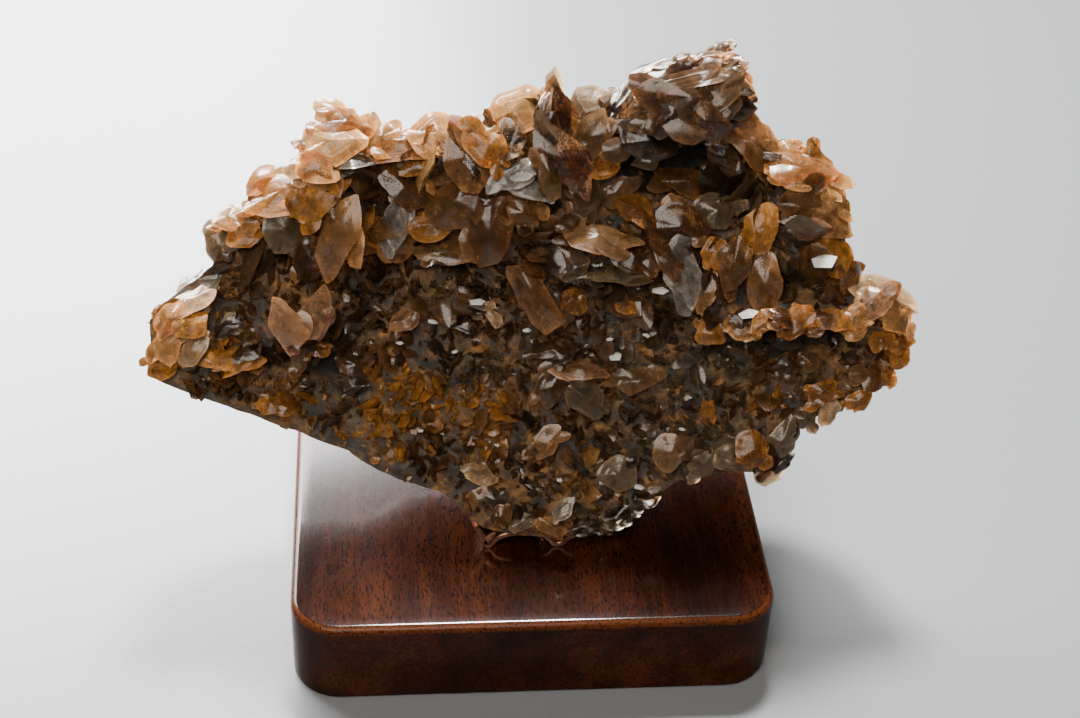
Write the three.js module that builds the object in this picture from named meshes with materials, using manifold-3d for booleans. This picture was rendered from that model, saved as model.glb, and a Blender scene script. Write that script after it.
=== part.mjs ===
// A ferroan calcite specimen: lens-shaped crystals on a slab of dark rock, leaning back in a metal
// cradle on a wooden block.
// Millimetres, +Z up. The origin is the middle of the block's underside and the front faces -Y.
import * as THREE from "three";
import { mergeVertices } from "three/addons/utils/BufferGeometryUtils.js";
import Module from "manifold-3d";

const wasm = await Module();
wasm.setup();

// The wooden block.
const BLOCK_WIDTH = 90;
const BLOCK_DEPTH = 90;
const BLOCK_HEIGHT = 18;
const BLOCK_CORNER = 9;
const BLOCK_EDGE = 1.5;

// The specimen leans back. Its face has u to the right, v up the lean and n out towards the front.
const LEAN = THREE.MathUtils.degToRad(25);
const FACE_FOOT = new THREE.Vector3(0, -26, 20.5);
const FACE_U = new THREE.Vector3(1, 0, 0);
const FACE_V = new THREE.Vector3(0, Math.sin(LEAN), Math.cos(LEAN));
const FACE_N = new THREE.Vector3(0, -Math.cos(LEAN), Math.sin(LEAN));

// The slab of rock: its middle, its outline (u, v) and its thickness.
const SLAB_MIDDLE = [0, 45];
const SLAB_OUTLINE = [
  [-69.5, 44], [-63, 49.5], [-58, 52.5], [-56.5, 59], [-54.5, 61], [-49.5, 63], [-47, 66],
  [-43, 69], [-40, 74], [-36, 78], [-31.5, 76.5], [-26, 74], [-19, 75], [-12, 77],
  [-5, 80], [2, 82.5], [7, 79.5], [13, 80], [18, 82.5], [24, 87], [30, 88.5], [35.5, 87.5],
  [36.5, 79], [39, 73.5], [47, 71.5], [53, 69], [56, 64.5], [56.5, 56], [58.5, 50], [64.5, 47],
  [69, 43], [70.5, 36], [69, 30.5], [62.5, 25], [54.5, 22.5], [50.5, 19.5], [49, 13], [38, 12.5],
  [29, 11], [22, 7], [16, 3.6], [10, 1.2], [4, 1], [-3, 1.6], [-9, 3.8], [-13, 6.8], [-17, 9.6],
  [-21, 10.6], [-27, 13], [-34.5, 18], [-43, 21.6], [-52, 25.2], [-62, 29], [-69.5, 32.5],
  [-69.5, 38],
];
const SLAB_FRONT = -4;
const SLAB_THICKNESS = 20;
const SLAB_SIDE = 10;
const SLAB_RINGS = 9;
const SLAB_ROUGHNESS = 0.7;
const BACK_INSET = 0.93;
const SEAT_HEIGHT = 22.6;

// Swellings and hollows of the front: u, v, spread in u, spread in v, height.
const SWELLINGS = [
  [28, 84, 12, 8, 9],
  [25, 70.5, 11, 4.5, -9],
  [-3, 74, 22, 12, 6],
  [-36, 74, 9, 8, 3],
  [-38, 60, 8, 9, 6],
  [-28, 55, 3.5, 9, -6],
  [-43, 44, 8, 6, 6],
  [-35, 33, 6, 3, -6],
  [8, 55, 20, 10, 5],
  [40, 54, 14, 8, 6],
  [50, 66, 10, 9, 4],
  [47, 42.5, 14, 3.2, 8],
  [45, 35.5, 12, 2.6, -6],
  [66, 42, 6, 8, 4],
  [41, 17, 8, 6, 4],
  [-62, 42, 8, 8, 4],
  [0, 30, 30, 14, 3],
  [5, 5, 14, 8, 5],
  [-10, 5, 6, 5, 4],
];

// The large crystals, by the part of the specimen they grow on. Each row gives the place u, v and
// the lift above the rock, the half-length and half-width, and then the turn of the long axis from
// u, the tip about that axis (below zero faces up) and the rise of the axis, in degrees.
const UPPER_LEFT = [
  [-33.5, 78.8, 1, 5.8, 5.2, -15, -48, 0],
  [-36.2, 75.4, 3, 7, 5.8, 12, -38, 0],
  [-41, 71.8, 2, 3.8, 3, 20, -50, 0],
  [-32.5, 73, 3, 4.6, 3, 5, -62, 0],
  [-30.5, 77, 0, 3.6, 3.6, -50, -30, 0],
  [-44.6, 66.8, 3, 7.6, 5, 16, -40, 0],
  [-46.5, 64, 3, 4.4, 3, -35, -10, 0],
  [-44.5, 60.6, 3, 4.8, 4, 80, 12, 0],
  [-49, 63.4, 2, 2.6, 2, -20, -40, 0],
  [-54.6, 61.8, 1, 3.4, 2.6, 10, -40, 0],
  [-51.2, 61.2, 2, 3.2, 2.6, 60, -15, 0],
  [-56.3, 57, 1, 3.4, 3.2, 80, 0, 0],
  [-51.8, 58.4, 2, 3.6, 2.4, 5, -35, 0],
  [-34.8, 60.5, 4, 9, 4.6, 73, -30, 8],
  [-38.5, 66.5, 3, 5.6, 3.8, 50, -20, 0],
  [-40, 55, 2, 5, 3.4, 60, 5, 0],
  [-37.6, 68.8, 4, 4, 2.4, -45, 10, 0],
];
const CROWN = [
  [-23, 75.2, 2, 6.8, 4.8, 5, -42, 0],
  [-26.5, 76.2, 1, 4, 3.4, 40, -40, 0],
  [-17, 76.8, 1, 6.2, 4.8, -12, -32, 0],
  [-12.6, 73.6, 3, 7, 3.8, -68, -10, 5],
  [-9.5, 78.6, 0, 5, 3.4, 15, -50, 0],
  [-3.2, 80.8, 1, 6, 5.2, 30, -25, 0],
  [1, 81.8, 3, 3.4, 1.5, 62, -60, 0],
  [3, 83, 1, 6.8, 3.6, 80, -12, 0],
  [4.6, 81, 2, 5.4, 2.4, 98, 20, 0],
  [9.8, 80.8, 0, 5.2, 4.6, 40, -30, 0],
  [10.2, 77.2, 3, 5.2, 4.6, -30, 5, 0],
  [14.3, 82, 1, 4.6, 2.4, 48, -58, 0],
  [13, 83.6, -1, 2.8, 1.8, 10, -40, 0],
  [-8.4, 75.6, 4, 4.8, 3.4, -35, -15, 0],
  [-10.4, 72.6, 3, 3.6, 2.6, -50, -30, 0],
  [-4.2, 75.6, 3, 3.4, 2.8, 70, -20, 0],
  [-4.6, 70.2, 3, 4.6, 2.6, 25, -45, 0],
  [0.6, 68.8, 3, 3.4, 2, -10, -58, 0],
  [5.2, 73.2, 4, 9, 5.6, -54, 0, 0],
  [10.4, 72.4, 4, 4.8, 3.4, -12, -25, 0],
  [12.6, 69.6, 3, 3.4, 2.4, 20, -10, 0],
  [9, 67, 3, 5.4, 3.2, -80, 10, 0],
  [-13.4, 65.6, 3, 6.8, 5, 50, -15, 0],
  [-23.2, 67.8, 3, 5.2, 3.4, -32, -20, 0],
  [-24.6, 61.4, 4, 5, 2.6, 78, -35, 0],
  [-24.8, 57.4, 4, 4.4, 3.6, 85, 10, 0],
  [-8, 60.2, 4, 7.6, 4.2, 86, -5, 0],
  [-18, 61, 3, 4.6, 3, 20, -20, 0],
  [-2, 63.5, 3, 4.4, 3.4, -30, -10, 0],
];
const OVERHANG = [
  [28, 88.8, 3, 10.4, 6, 12, -64, 0],
  [33.6, 91.4, 2, 2.8, 2.2, 60, -30, 0],
  [26.6, 90, 1, 2.4, 1.8, 20, -30, 0],
  [26.8, 84.4, 5, 9.4, 7, -5, -12, 0],
  [28.2, 82, 8, 7.2, 4.2, -40, 8, 0],
  [20.6, 85.6, 3, 5.4, 3.6, 40, -40, 0],
  [37, 88, 2, 3.2, 2.2, -60, -40, 0],
  [37.6, 85, 3, 3, 2, -40, -30, 0],
  [35.4, 82.2, 5, 4.2, 2.4, 15, 0, 0],
  [34.2, 79.4, 5, 2.8, 1.6, 10, -10, 0],
  [37, 80.5, 2, 4, 3.2, -60, 0, 0],
  [16.6, 83, 2, 5, 2.8, 56, -52, 0],
  [20, 82, 4, 3.8, 2.8, 20, 0, 0],
  [20, 76.4, 7, 6.8, 4.6, -4, -8, 0],
  [35.2, 72.6, 4, 4.8, 2.6, -56, 0, 0],
  [28.8, 67.6, 4, 6.2, 3.4, -12, -25, 0],
  [32.4, 68.6, 2, 3.6, 2, 30, -20, 0],
];
const RIGHT_SHOULDER = [
  [40.6, 75, 3, 6.4, 4.6, -42, -20, 0],
  [47, 73.4, 2, 3.4, 2.8, 10, -30, 0],
  [49, 70.4, 3, 8.6, 4.4, -14, -34, 0],
  [52.6, 72.2, 1, 3.8, 2, -58, -20, 0],
  [54.6, 69, 1, 3.6, 2.2, -40, -45, 0],
  [43.6, 73, 4, 2.4, 1.4, -10, -50, 0],
  [53, 62.6, 3, 6.4, 5.4, -30, -8, 0],
  [54, 56.4, 3, 6.2, 4.6, -70, 5, 0],
  [48.5, 64.5, 3, 5, 4.2, 30, 10, 0],
  [41, 59.2, 3, 5.6, 3.6, 76, -10, 0],
  [33.6, 63, 3, 4.8, 3.6, 20, -15, 0],
  [26.6, 60.6, 4, 5.2, 4.4, -15, -5, 0],
  [18.6, 63.6, 3, 4.4, 2.8, -30, -25, 0],
  [15, 66.6, 3, 4.2, 2.6, 35, 0, 0],
  [52.6, 53.4, 4, 3.9, 2.7, -20, -60, 0],
  [56.6, 54, 1, 5, 3.2, -60, -5, 0],
];
const HEART = [
  [11.5, 58.6, 4, 7.8, 3.6, -3, -42, 0],
  [18, 55.4, 3, 4.6, 3.2, -20, -20, 0],
  [28.2, 50.2, 4, 6.2, 3.6, -70, -5, 0],
  [36, 54, 3, 5.2, 3.4, 80, 0, 0],
  [42, 50, 4, 6.6, 3.2, 85, -10, 0],
  [33, 56, 3, 3.6, 2.6, 40, -10, 0],
  [-15.6, 56, 3, 7.2, 3.2, 5, -52, 0],
  [0.8, 47.2, 3, 8.8, 3.8, -58, 5, 0],
  [7, 47.4, 4, 2.6, 2.3, 0, -20, 0],
  [7.6, 53.4, 3, 3.6, 2.2, 35, -20, 0],
  [14.6, 52, 3, 6.2, 2.4, -2, -55, 0],
  [-11.8, 42.4, 2, 3.6, 2, 0, -40, 0],
  [-10, 46.2, 3, 2.2, 1.5, -20, -64, 0],
  [-7.2, 43.8, 2, 2.6, 1.4, -60, -20, 0],
  [-23.4, 43, 3, 3.2, 2.6, 10, -15, 0],
  [4, 37.2, 2, 5.2, 2.6, 5, -30, 0],
  [9.2, 33.4, 2, 5, 2.2, -8, -45, 0],
  [17.2, 45.6, 3, 2.2, 1.8, 0, -20, 0],
  [23, 48, 4, 2.2, 1.3, -35, -62, 0],
];
const LEDGE = [
  [33.4, 38.8, 3, 3, 2.8, 0, -10, 0],
  [38.6, 40.2, 3, 3.8, 2.8, 15, -35, 0],
  [43.2, 42.6, 3, 4.4, 2.8, 20, -40, 0],
  [47, 42, 4, 3.6, 2.6, 50, -30, 0],
  [50.6, 42.2, 3, 4.4, 2.8, 0, -40, 0],
  [55, 41.6, 3, 4, 2.8, -20, -35, 0],
  [58.8, 41.4, 3, 4.2, 3, 30, -25, 0],
  [38.5, 43.6, 3, 2.4, 1.6, 5, -64, 0],
  [48.6, 32.8, 2, 2.8, 2.6, 0, -15, 0],
  [53.2, 33.4, 2, 2.6, 2.6, 40, -15, 0],
  [62, 31.5, 2, 2.4, 1.8, -10, -20, 0],
  [55.2, 28, 2, 3.8, 2.4, 20, -15, 0],
];
const RIGHT_LOBE = [
  [65.6, 45.8, 1, 6.4, 5, -20, -35, 0],
  [67.8, 43, 2, 4.6, 3.6, -70, -20, 0],
  [62.6, 46, 3, 4.6, 3.8, 30, -25, 0],
  [69, 38.2, 2, 3, 2.4, 0, -20, 0],
  [65, 38.6, 3, 2.8, 2.2, 40, -30, 0],
  [69.4, 34.6, 1, 3, 2.2, -60, 0, 0],
];
const LEFT_TIP = [
  [-63.4, 46.4, 2, 6.4, 4.4, 32, -30, 0],
  [-65, 40, 2, 5.8, 3.8, 60, -10, 0],
  [-67.8, 35.2, 1, 3.4, 2.8, 20, 0, 0],
  [-60.5, 50.4, 0, 4.4, 2.4, 35, -40, 0],
  [-56, 36.6, 2, 7.6, 2.6, -2, -40, 0],
  [-51.5, 38.2, 3, 3.4, 2.2, 20, -52, 0],
  [-55.4, 42.6, 2, 3.2, 2, 30, -40, 0],
  [-44.4, 43.6, 4, 5.8, 4, 118, -12, 0],
  [-39.5, 45.4, 4, 5.6, 2.9, 70, -8, 0],
  [-42.4, 37.8, 3, 3.8, 2.2, 84, 10, 0],
  [-39.5, 37.8, 3, 2.6, 1.5, 0, -40, 0],
  [-32.6, 33.8, 4, 3.8, 2.4, -15, -20, 0],
  [-33, 30.4, 3, 3.2, 2, 10, -10, 0],
  [-48, 27.2, 1, 3.2, 2, 15, -30, 0],
];
const SKIRT = [
  [2.8, 19.4, 2, 4.2, 2.6, 50, -15, 0],
  [-9.4, 13.4, 2, 3.2, 2, -10, -30, 0],
  [5.6, 7.8, 3, 3, 2, 40, -40, 0],
  [-7.4, 8, 2, 3, 2.4, 0, -10, 0],
  [9.8, 2.8, 1, 3.8, 2.6, 10, -30, 0],
  [21.6, 7.4, 1, 3.2, 2.2, 20, -35, 0],
  [16.5, 13, 2, 4.6, 3.6, 60, 0, 0],
  [26.5, 17, 2, 4.2, 3.4, 80, 0, 0],
  [41.3, 18.8, 4, 3.6, 3.4, 0, -15, 0],
  [47.6, 18.6, 1, 5.4, 3.2, 75, 0, 0],
  [46.4, 13.8, 1, 4.6, 3, 40, 5, 0],
  [38, 15.5, 1, 4, 3, -20, 0, 0],
  [33, 14.4, 1, 3.6, 2.6, 30, 0, 0],
  [57.2, 24, 1, 3, 2, 60, 0, 0],
  [62.5, 26, 1, 3.2, 2.2, 40, 0, 0],
  [66.4, 30, 1, 3.2, 2.2, 20, 0, 0],
  [52.4, 22.6, 1, 3, 2, -30, 0, 0],
  [-10.6, 7, 2, 3.6, 2.6, 60, -10, 0],
  [-6.6, 4.6, 1, 3.4, 2.4, 40, -10, 0],
  [-1.6, 3.6, 1, 3.6, 2.4, 20, -20, 0],
  [3.6, 2.6, 1, 3.6, 2.4, -20, -10, 0],
  [16, 4.6, 1, 3.6, 2.4, 30, -20, 0],
  [33.3, 24.6, 2, 2.8, 1.4, 110, -10, 0],
];
const LARGE_CRYSTALS = [
  UPPER_LEFT, CROWN, OVERHANG, RIGHT_SHOULDER, HEART, LEDGE, RIGHT_LOBE, LEFT_TIP, SKIRT,
].flat();

// A crystal is a flat lens: its thickness follows its width, and the largest have a shoulder ring.
const THICKNESS_SHARE = 0.36;
const LEAST_HALF_THICKNESS = 0.6;
const SHOULDERED_FROM = 8.3;
const FOUR_SIDED_UNDER = 3.5;

// The smaller crystals between the large ones stand on a loose grid, and others line the rim.
const FILL_PITCH = 7.6;
const FILL_COLUMNS = 19;
const FILL_ROWS = 11;
const RIM_CRYSTALS = 38;
const RIM_REACH = 0.97;

// The metal stand: a bent strip with two feet and a low arch in front, with a turned-up claw, and
// a leaning strip with a foot behind.
const STRIP = 1.2;
const CRADLE_FRONT = -24.6;
const CRADLE_DEPTH = 9;
const CRADLE_LINE = [
  [-12.4, 28.8], [-9.4, 20.9], [-8.3, 18.6], [-7.4, 18.8], [-6.4, 20.2], [-4.7, 21.1],
  [-2.3, 21.5], [-0.1, 21.5], [2.2, 21], [3.7, 19.8], [4.6, 18.6], [6, 18.6], [7.4, 20],
  [10, 21.3], [15, 21.6],
];
const CLAW = [[-10.9, 24.6], [-9.2, 19.6], [-8.2, 19.2], [-6.5, 22.7], [-8.3, 21.1], [-9.9, 24.4]];
const CLAW_THICKNESS = 1;
const REST_THICKNESS = 1.6;
const REST_WIDTH = 12;
const REST_TOP = 50;
const REST_FOOT = 16;
const STONE_GAP = 0.35;

const WOOD = new THREE.MeshStandardMaterial({ color: 0x6b2f1a, roughness: 0.3, metalness: 0 });
const METAL = new THREE.MeshStandardMaterial({ color: 0x5a3424, roughness: 0.35, metalness: 0.9 });
const CALCITE = new THREE.MeshStandardMaterial({ color: 0x8a6238, roughness: 0.3, metalness: 0 });

// A number from 0 to 1 that looks random but is always the same for i and k.
function scatter(i, k) {
  const x = Math.sin(i * 12.9898 + k * 78.233) * 43758.5453;
  return x - Math.floor(x);
}

// The slab's radius at an angle about its middle, straight between the points of the outline.
const OUTLINE_POLAR = SLAB_OUTLINE.map(([u, v]) => {
  const du = u - SLAB_MIDDLE[0];
  const dv = v - SLAB_MIDDLE[1];
  return [Math.atan2(dv, du), Math.hypot(du, dv)];
}).sort((a, b) => a[0] - b[0]);

function slabRadius(angle) {
  const turn = 2 * Math.PI;
  const first = OUTLINE_POLAR[0];
  const last = OUTLINE_POLAR[OUTLINE_POLAR.length - 1];
  const ring = [[last[0] - turn, last[1]], ...OUTLINE_POLAR, [first[0] + turn, first[1]]];
  const a = angle - turn * Math.floor((angle + Math.PI) / turn);
  const k = ring.findIndex((p) => p[0] > a);
  const [a0, r0] = ring[k - 1];
  const [a1, r1] = ring[k];
  return r0 + ((a - a0) / (a1 - a0)) * (r1 - r0);
}

// How far out from the middle a place on the face is, from 0 to 1 at the slab's rim.
function rimShare(u, v) {
  const du = u - SLAB_MIDDLE[0];
  const dv = v - SLAB_MIDDLE[1];
  return Math.hypot(du, dv) / slabRadius(Math.atan2(dv, du));
}

// The rock's front: a level with round swellings and hollows.
function frontLevel(u, v) {
  return SWELLINGS.reduce((level, [cu, cv, su, sv, height]) => {
    const d = ((u - cu) / su) ** 2 + ((v - cv) / sv) ** 2;
    return level + height * Math.exp(-d);
  }, SLAB_FRONT);
}

// The rock's back: lumpy, thinner at the rim, and never lower than the seat of the cradle.
function backLevel(u, v) {
  const share = Math.min(rimShare(u, v), 1);
  const full = SLAB_THICKNESS + 2.5 * Math.sin(u * 0.13 + 1) * Math.cos(v * 0.17);
  const chips = 1.2 * Math.sin(u * 0.61 + v * 0.23) * Math.sin(v * 0.53 - u * 0.31);
  const depth = full + (SLAB_SIDE - full) * share ** 5 + chips;
  return Math.max(-depth, seatLevel(v));
}

// The level n at which a place v on the face is at the height of the seat.
function seatLevel(v) {
  return (SEAT_HEIGHT - FACE_FOOT.z - v * Math.cos(LEAN)) / Math.sin(LEAN);
}

// A place on the leaning face, in the block's frame.
function facePlace(u, v, n) {
  return FACE_FOOT.clone()
    .addScaledVector(FACE_U, u)
    .addScaledVector(FACE_V, v)
    .addScaledVector(FACE_N, n);
}

// A closed surface of rings of points between two poles.
function ringSolid(startPole, rings, endPole) {
  const count = rings[0].length;
  const points = [startPole, ...rings.flat(), endPole];
  const index = [];
  const at = (r, k) => 1 + r * count + (k % count);
  for (let k = 0; k < count; k += 1) {
    index.push(0, at(0, k), at(0, k + 1));
    for (let r = 0; r + 1 < rings.length; r += 1) {
      index.push(at(r, k), at(r + 1, k), at(r + 1, k + 1));
      index.push(at(r, k), at(r + 1, k + 1), at(r, k + 1));
    }
    index.push(at(rings.length - 1, k), points.length - 1, at(rings.length - 1, k + 1));
  }
  const geometry = new THREE.BufferGeometry().setFromPoints(points);
  geometry.setIndex(index);
  return geometry;
}

// The place of point k of ring r in a lattice of rings with 6 r points each.
function latticeAt(r, k) {
  return r === 0 ? 0 : 1 + 3 * r * (r - 1) + (k % (6 * r));
}

// The triangles of the lattice out to its last ring.
function latticeIndex(rings) {
  const index = [];
  for (let r = 1; r <= rings; r += 1) {
    for (let sector = 0; sector < 6; sector += 1) {
      for (let j = 0; j < r; j += 1) {
        const outer = sector * r + j;
        const inner = sector * (r - 1) + j;
        index.push(latticeAt(r, outer), latticeAt(r, outer + 1), latticeAt(r - 1, inner));
        if (j < r - 1) {
          index.push(latticeAt(r - 1, inner), latticeAt(r, outer + 1), latticeAt(r - 1, inner + 1));
        }
      }
    }
  }
  return index;
}

// One side of the rock: the lattice spread over the outline and roughened, the rim left as it is.
function slabSide(reach, level, seed) {
  const points = [];
  for (let r = 0; r <= SLAB_RINGS; r += 1) {
    for (let k = 0; k < Math.max(6 * r, 1); k += 1) {
      const i = points.length;
      const rough = r < SLAB_RINGS ? SLAB_ROUGHNESS : 0;
      const angle = (k / Math.max(6 * r, 1)) * 2 * Math.PI;
      const radius = (r / SLAB_RINGS) * reach * slabRadius(angle);
      const u = SLAB_MIDDLE[0] + radius * Math.cos(angle) + rough * (2 * scatter(i, seed) - 1);
      const v = SLAB_MIDDLE[1] + radius * Math.sin(angle) + rough * (2 * scatter(i, seed + 1) - 1);
      points.push([u, v, level(u, v) + rough * scatter(i, seed + 2)]);
    }
  }
  return points;
}

// The rock: a front and a back side, joined by a band around the rim.
function slabGeometry() {
  const front = slabSide(1, frontLevel, 20);
  const back = slabSide(BACK_INSET, backLevel, 30);
  const rimAt = (k) => latticeAt(SLAB_RINGS, k);
  const sideIndex = latticeIndex(SLAB_RINGS);
  const index = [...sideIndex];
  for (let i = 0; i < sideIndex.length; i += 3) {
    index.push(...[0, 2, 1].map((corner) => front.length + sideIndex[i + corner]));
  }
  for (let k = 0; k < 6 * SLAB_RINGS; k += 1) {
    const corners = [rimAt(k), rimAt(k + 1), front.length + rimAt(k), front.length + rimAt(k + 1)];
    index.push(corners[0], corners[2], corners[1], corners[1], corners[2], corners[3]);
  }
  const points = [...front, ...back].map(([u, v, n]) => facePlace(u, v, n));
  const geometry = new THREE.BufferGeometry().setFromPoints(points);
  geometry.setIndex(index);
  return geometry;
}

// One crystal: a flat lens of two low pyramids that meet in a zigzag rim.
function crystalGeometry(halfLength, halfWidth) {
  const halfThickness = Math.max(THICKNESS_SHARE * halfWidth, LEAST_HALF_THICKNESS);
  const zigzag = 0.2 * halfThickness;
  const corners = halfLength < FOUR_SIDED_UNDER ? 4 : 6;
  const ring = (radius, height, wave) =>
    Array.from({ length: corners }, (_, k) => {
      const angle = (k / corners) * 2 * Math.PI;
      const x = radius * halfLength * Math.cos(angle);
      const y = radius * halfWidth * Math.sin(angle);
      return new THREE.Vector3(x, y, height + (k % 2 ? -wave : wave));
    });
  const shoulders = halfLength >= SHOULDERED_FROM ? [0.7 * halfThickness] : [];
  const upper = shoulders.map((height) => ring(0.64, height, 0));
  const lower = shoulders.map((height) => ring(0.64, -height, 0));
  const top = new THREE.Vector3(0, 0, halfThickness);
  const bottom = new THREE.Vector3(0, 0, -halfThickness);
  return ringSolid(top, [...upper, ring(1, 0, zigzag), ...lower], bottom);
}

// Puts a crystal on the face. It is turned in the face by its turn, raised and tipped.
function placedCrystal([u, v, lift, halfLength, halfWidth, turn, tip, rise]) {
  const rad = THREE.MathUtils.degToRad;
  const pose = new THREE.Matrix4()
    .makeRotationZ(rad(turn))
    .multiply(new THREE.Matrix4().makeRotationY(rad(-rise)))
    .multiply(new THREE.Matrix4().makeRotationX(rad(tip)));
  const face = new THREE.Matrix4().makeBasis(FACE_U, FACE_V, FACE_N);
  const place = facePlace(u, v, frontLevel(u, v) + lift);
  const geometry = crystalGeometry(halfLength, halfWidth).applyMatrix4(pose).applyMatrix4(face);
  return geometry.translate(place.x, place.y, place.z);
}

// How long the smaller crystals are at a place: longer in the upper part than in the lower.
function fillLength(u, v) {
  return 2.4 + 1.5 * THREE.MathUtils.smoothstep(v + 0.15 * u, 38, 66);
}

function fillCrystals() {
  const rows = [];
  for (let row = 0; row < FILL_ROWS; row += 1) {
    for (let column = 0; column < FILL_COLUMNS; column += 1) {
      const i = row * FILL_COLUMNS + column + 1;
      const u = (column - FILL_COLUMNS / 2 + scatter(i, 1)) * FILL_PITCH;
      const v = (row + scatter(i, 2)) * FILL_PITCH + 4;
      const length = fillLength(u, v) * (0.8 + 0.5 * scatter(i, 3));
      const turn = 360 * scatter(i, 4);
      const tip = -70 + 95 * scatter(i, 5);
      const rise = -20 + 40 * scatter(i, 6);
      if (rimShare(u, v) < 0.93) {
        rows.push([u, v, 1, length, 0.7 * length, turn, tip, rise]);
      }
    }
  }
  return rows;
}

// The crystals along the rim point outwards, and some stand further back on the slab's side.
function rimCrystals() {
  return Array.from({ length: RIM_CRYSTALS }, (_, k) => {
    const angle = ((k + 0.5 * scatter(k, 7)) / RIM_CRYSTALS) * 2 * Math.PI;
    const r = RIM_REACH * slabRadius(angle);
    const u = SLAB_MIDDLE[0] + r * Math.cos(angle);
    const v = SLAB_MIDDLE[1] + r * Math.sin(angle);
    const low = v < 30 && u < 0;
    const length = (low ? 1.9 : 3) + 1.1 * scatter(k, 8);
    const turn = THREE.MathUtils.radToDeg(angle) - 25 + 50 * scatter(k, 9);
    const tip = -75 + 150 * scatter(k, 10);
    return [u, v, -3 * scatter(k, 11), length, 0.65 * length, turn, tip, 0];
  });
}

// A closed geometry as a solid that can be joined and cut.
function solidOf(geometry) {
  const bare = geometry.index ? geometry.toNonIndexed() : geometry.clone();
  bare.deleteAttribute("normal");
  bare.deleteAttribute("uv");
  const merged = mergeVertices(bare, 1e-4);
  const vertProperties = merged.attributes.position.array;
  const triVerts = new Uint32Array(merged.index.array);
  return new wasm.Manifold(new wasm.Mesh({ numProp: 3, vertProperties, triVerts }));
}

function geometryOf(solid) {
  const { vertProperties, triVerts } = solid.getMesh();
  const geometry = new THREE.BufferGeometry();
  geometry.setAttribute("position", new THREE.BufferAttribute(vertProperties, 3));
  geometry.setIndex(new THREE.BufferAttribute(triVerts, 1));
  return geometry;
}

function joined(geometries) {
  return geometries.map(solidOf).reduce((all, one) => all.add(one));
}

// The specimen is the rock and every crystal in one solid, with room for the stand cut out of it.
// Crystals that lean together can shut in a small space, so only the outer surface is kept.
function specimenGeometry() {
  const crystals = [...LARGE_CRYSTALS, ...fillCrystals(), ...rimCrystals()].map(placedCrystal);
  const stone = joined([slabGeometry(), ...crystals]);
  const bodies = stone.subtract(solidOf(cradleStrip(STONE_GAP))).decompose();
  const outer = bodies.reduce((best, body) => (body.volume() > best.volume() ? body : best));
  return geometryOf(outer);
}

// The block: a rounded square with a small rounding along its top and bottom edges.
function blockGeometry() {
  const w = BLOCK_WIDTH / 2 - BLOCK_EDGE;
  const d = BLOCK_DEPTH / 2 - BLOCK_EDGE;
  const r = BLOCK_CORNER - BLOCK_EDGE;
  const outline = new THREE.Shape();
  outline.moveTo(-w + r, -d);
  outline.lineTo(w - r, -d);
  outline.absarc(w - r, -d + r, r, -Math.PI / 2, 0);
  outline.absarc(w - r, d - r, r, 0, Math.PI / 2);
  outline.absarc(-w + r, d - r, r, Math.PI / 2, Math.PI);
  outline.absarc(-w + r, -d + r, r, Math.PI, 1.5 * Math.PI);
  const geometry = new THREE.ExtrudeGeometry(outline, {
    depth: BLOCK_HEIGHT - 2 * BLOCK_EDGE,
    bevelThickness: BLOCK_EDGE,
    bevelSize: BLOCK_EDGE,
    bevelSegments: 3,
    curveSegments: 4,
  });
  return geometry.translate(0, 0, BLOCK_EDGE);
}

// The outline of a bent strip: its line moved half the thickness to each side.
function thickLine(line, thickness) {
  const side = (sign) =>
    line.map(([a, b], k) => {
      const [a0, b0] = line[Math.max(k - 1, 0)];
      const [a1, b1] = line[Math.min(k + 1, line.length - 1)];
      const reach = (sign * thickness) / 2 / Math.hypot(a1 - a0, b1 - b0);
      return [a - (b1 - b0) * reach, b + (a1 - a0) * reach];
    });
  return [...side(-1), ...side(1).reverse()];
}

// An outline in X and Z drawn out along Y from its front.
function plateGeometry(outline, front, depth) {
  const shape = new THREE.Shape(outline.map(([x, z]) => new THREE.Vector2(x, z)));
  const geometry = new THREE.ExtrudeGeometry(shape, { depth, bevelEnabled: false });
  return geometry.rotateX(Math.PI / 2).translate(0, front + depth, 0);
}

// The cradle's strip, with some room around it when the stone is cut to fit.
function cradleStrip(room) {
  const outline = thickLine(CRADLE_LINE, STRIP + 2 * room);
  return plateGeometry(outline, CRADLE_FRONT - room, CRADLE_DEPTH + 2 * room);
}

function cradleGeometry() {
  const claw = plateGeometry(CLAW, CRADLE_FRONT - CLAW_THICKNESS + 0.2, CLAW_THICKNESS);
  return geometryOf(joined([cradleStrip(0), claw]));
}

// How deep the rock's back is where the rest stands behind it.
function restLevel() {
  const levels = [];
  for (let v = 14; v <= REST_TOP; v += 2) {
    for (let u = -REST_WIDTH / 2; u <= REST_WIDTH / 2; u += 2) {
      levels.push(backLevel(u, v));
    }
  }
  return Math.min(...levels) - STONE_GAP - REST_THICKNESS;
}

// The back rest: a strip that lies on the block and turns up along the rock's back.
function restGeometry() {
  const level = restLevel();
  const low = BLOCK_HEIGHT + REST_THICKNESS / 2;
  const top = facePlace(0, REST_TOP, level);
  const slope = Math.tan(LEAN);
  const heel = top.y - (top.z - low) * slope;
  const line = [
    [heel + REST_FOOT, low], [heel + 1.5, low], [heel + 0.4, low + 1], [top.y, top.z],
  ];
  const outline = thickLine(line, REST_THICKNESS).map(([y, z]) => new THREE.Vector2(y, z));
  const shape = new THREE.Shape(outline);
  const geometry = new THREE.ExtrudeGeometry(shape, { depth: REST_WIDTH, bevelEnabled: false });
  const yToX = new THREE.Matrix4().makeBasis(
    new THREE.Vector3(0, 1, 0), new THREE.Vector3(0, 0, 1), new THREE.Vector3(1, 0, 0),
  );
  return geometry.applyMatrix4(yToX).translate(-REST_WIDTH / 2, 0, 0);
}

const group = new THREE.Group();

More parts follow.
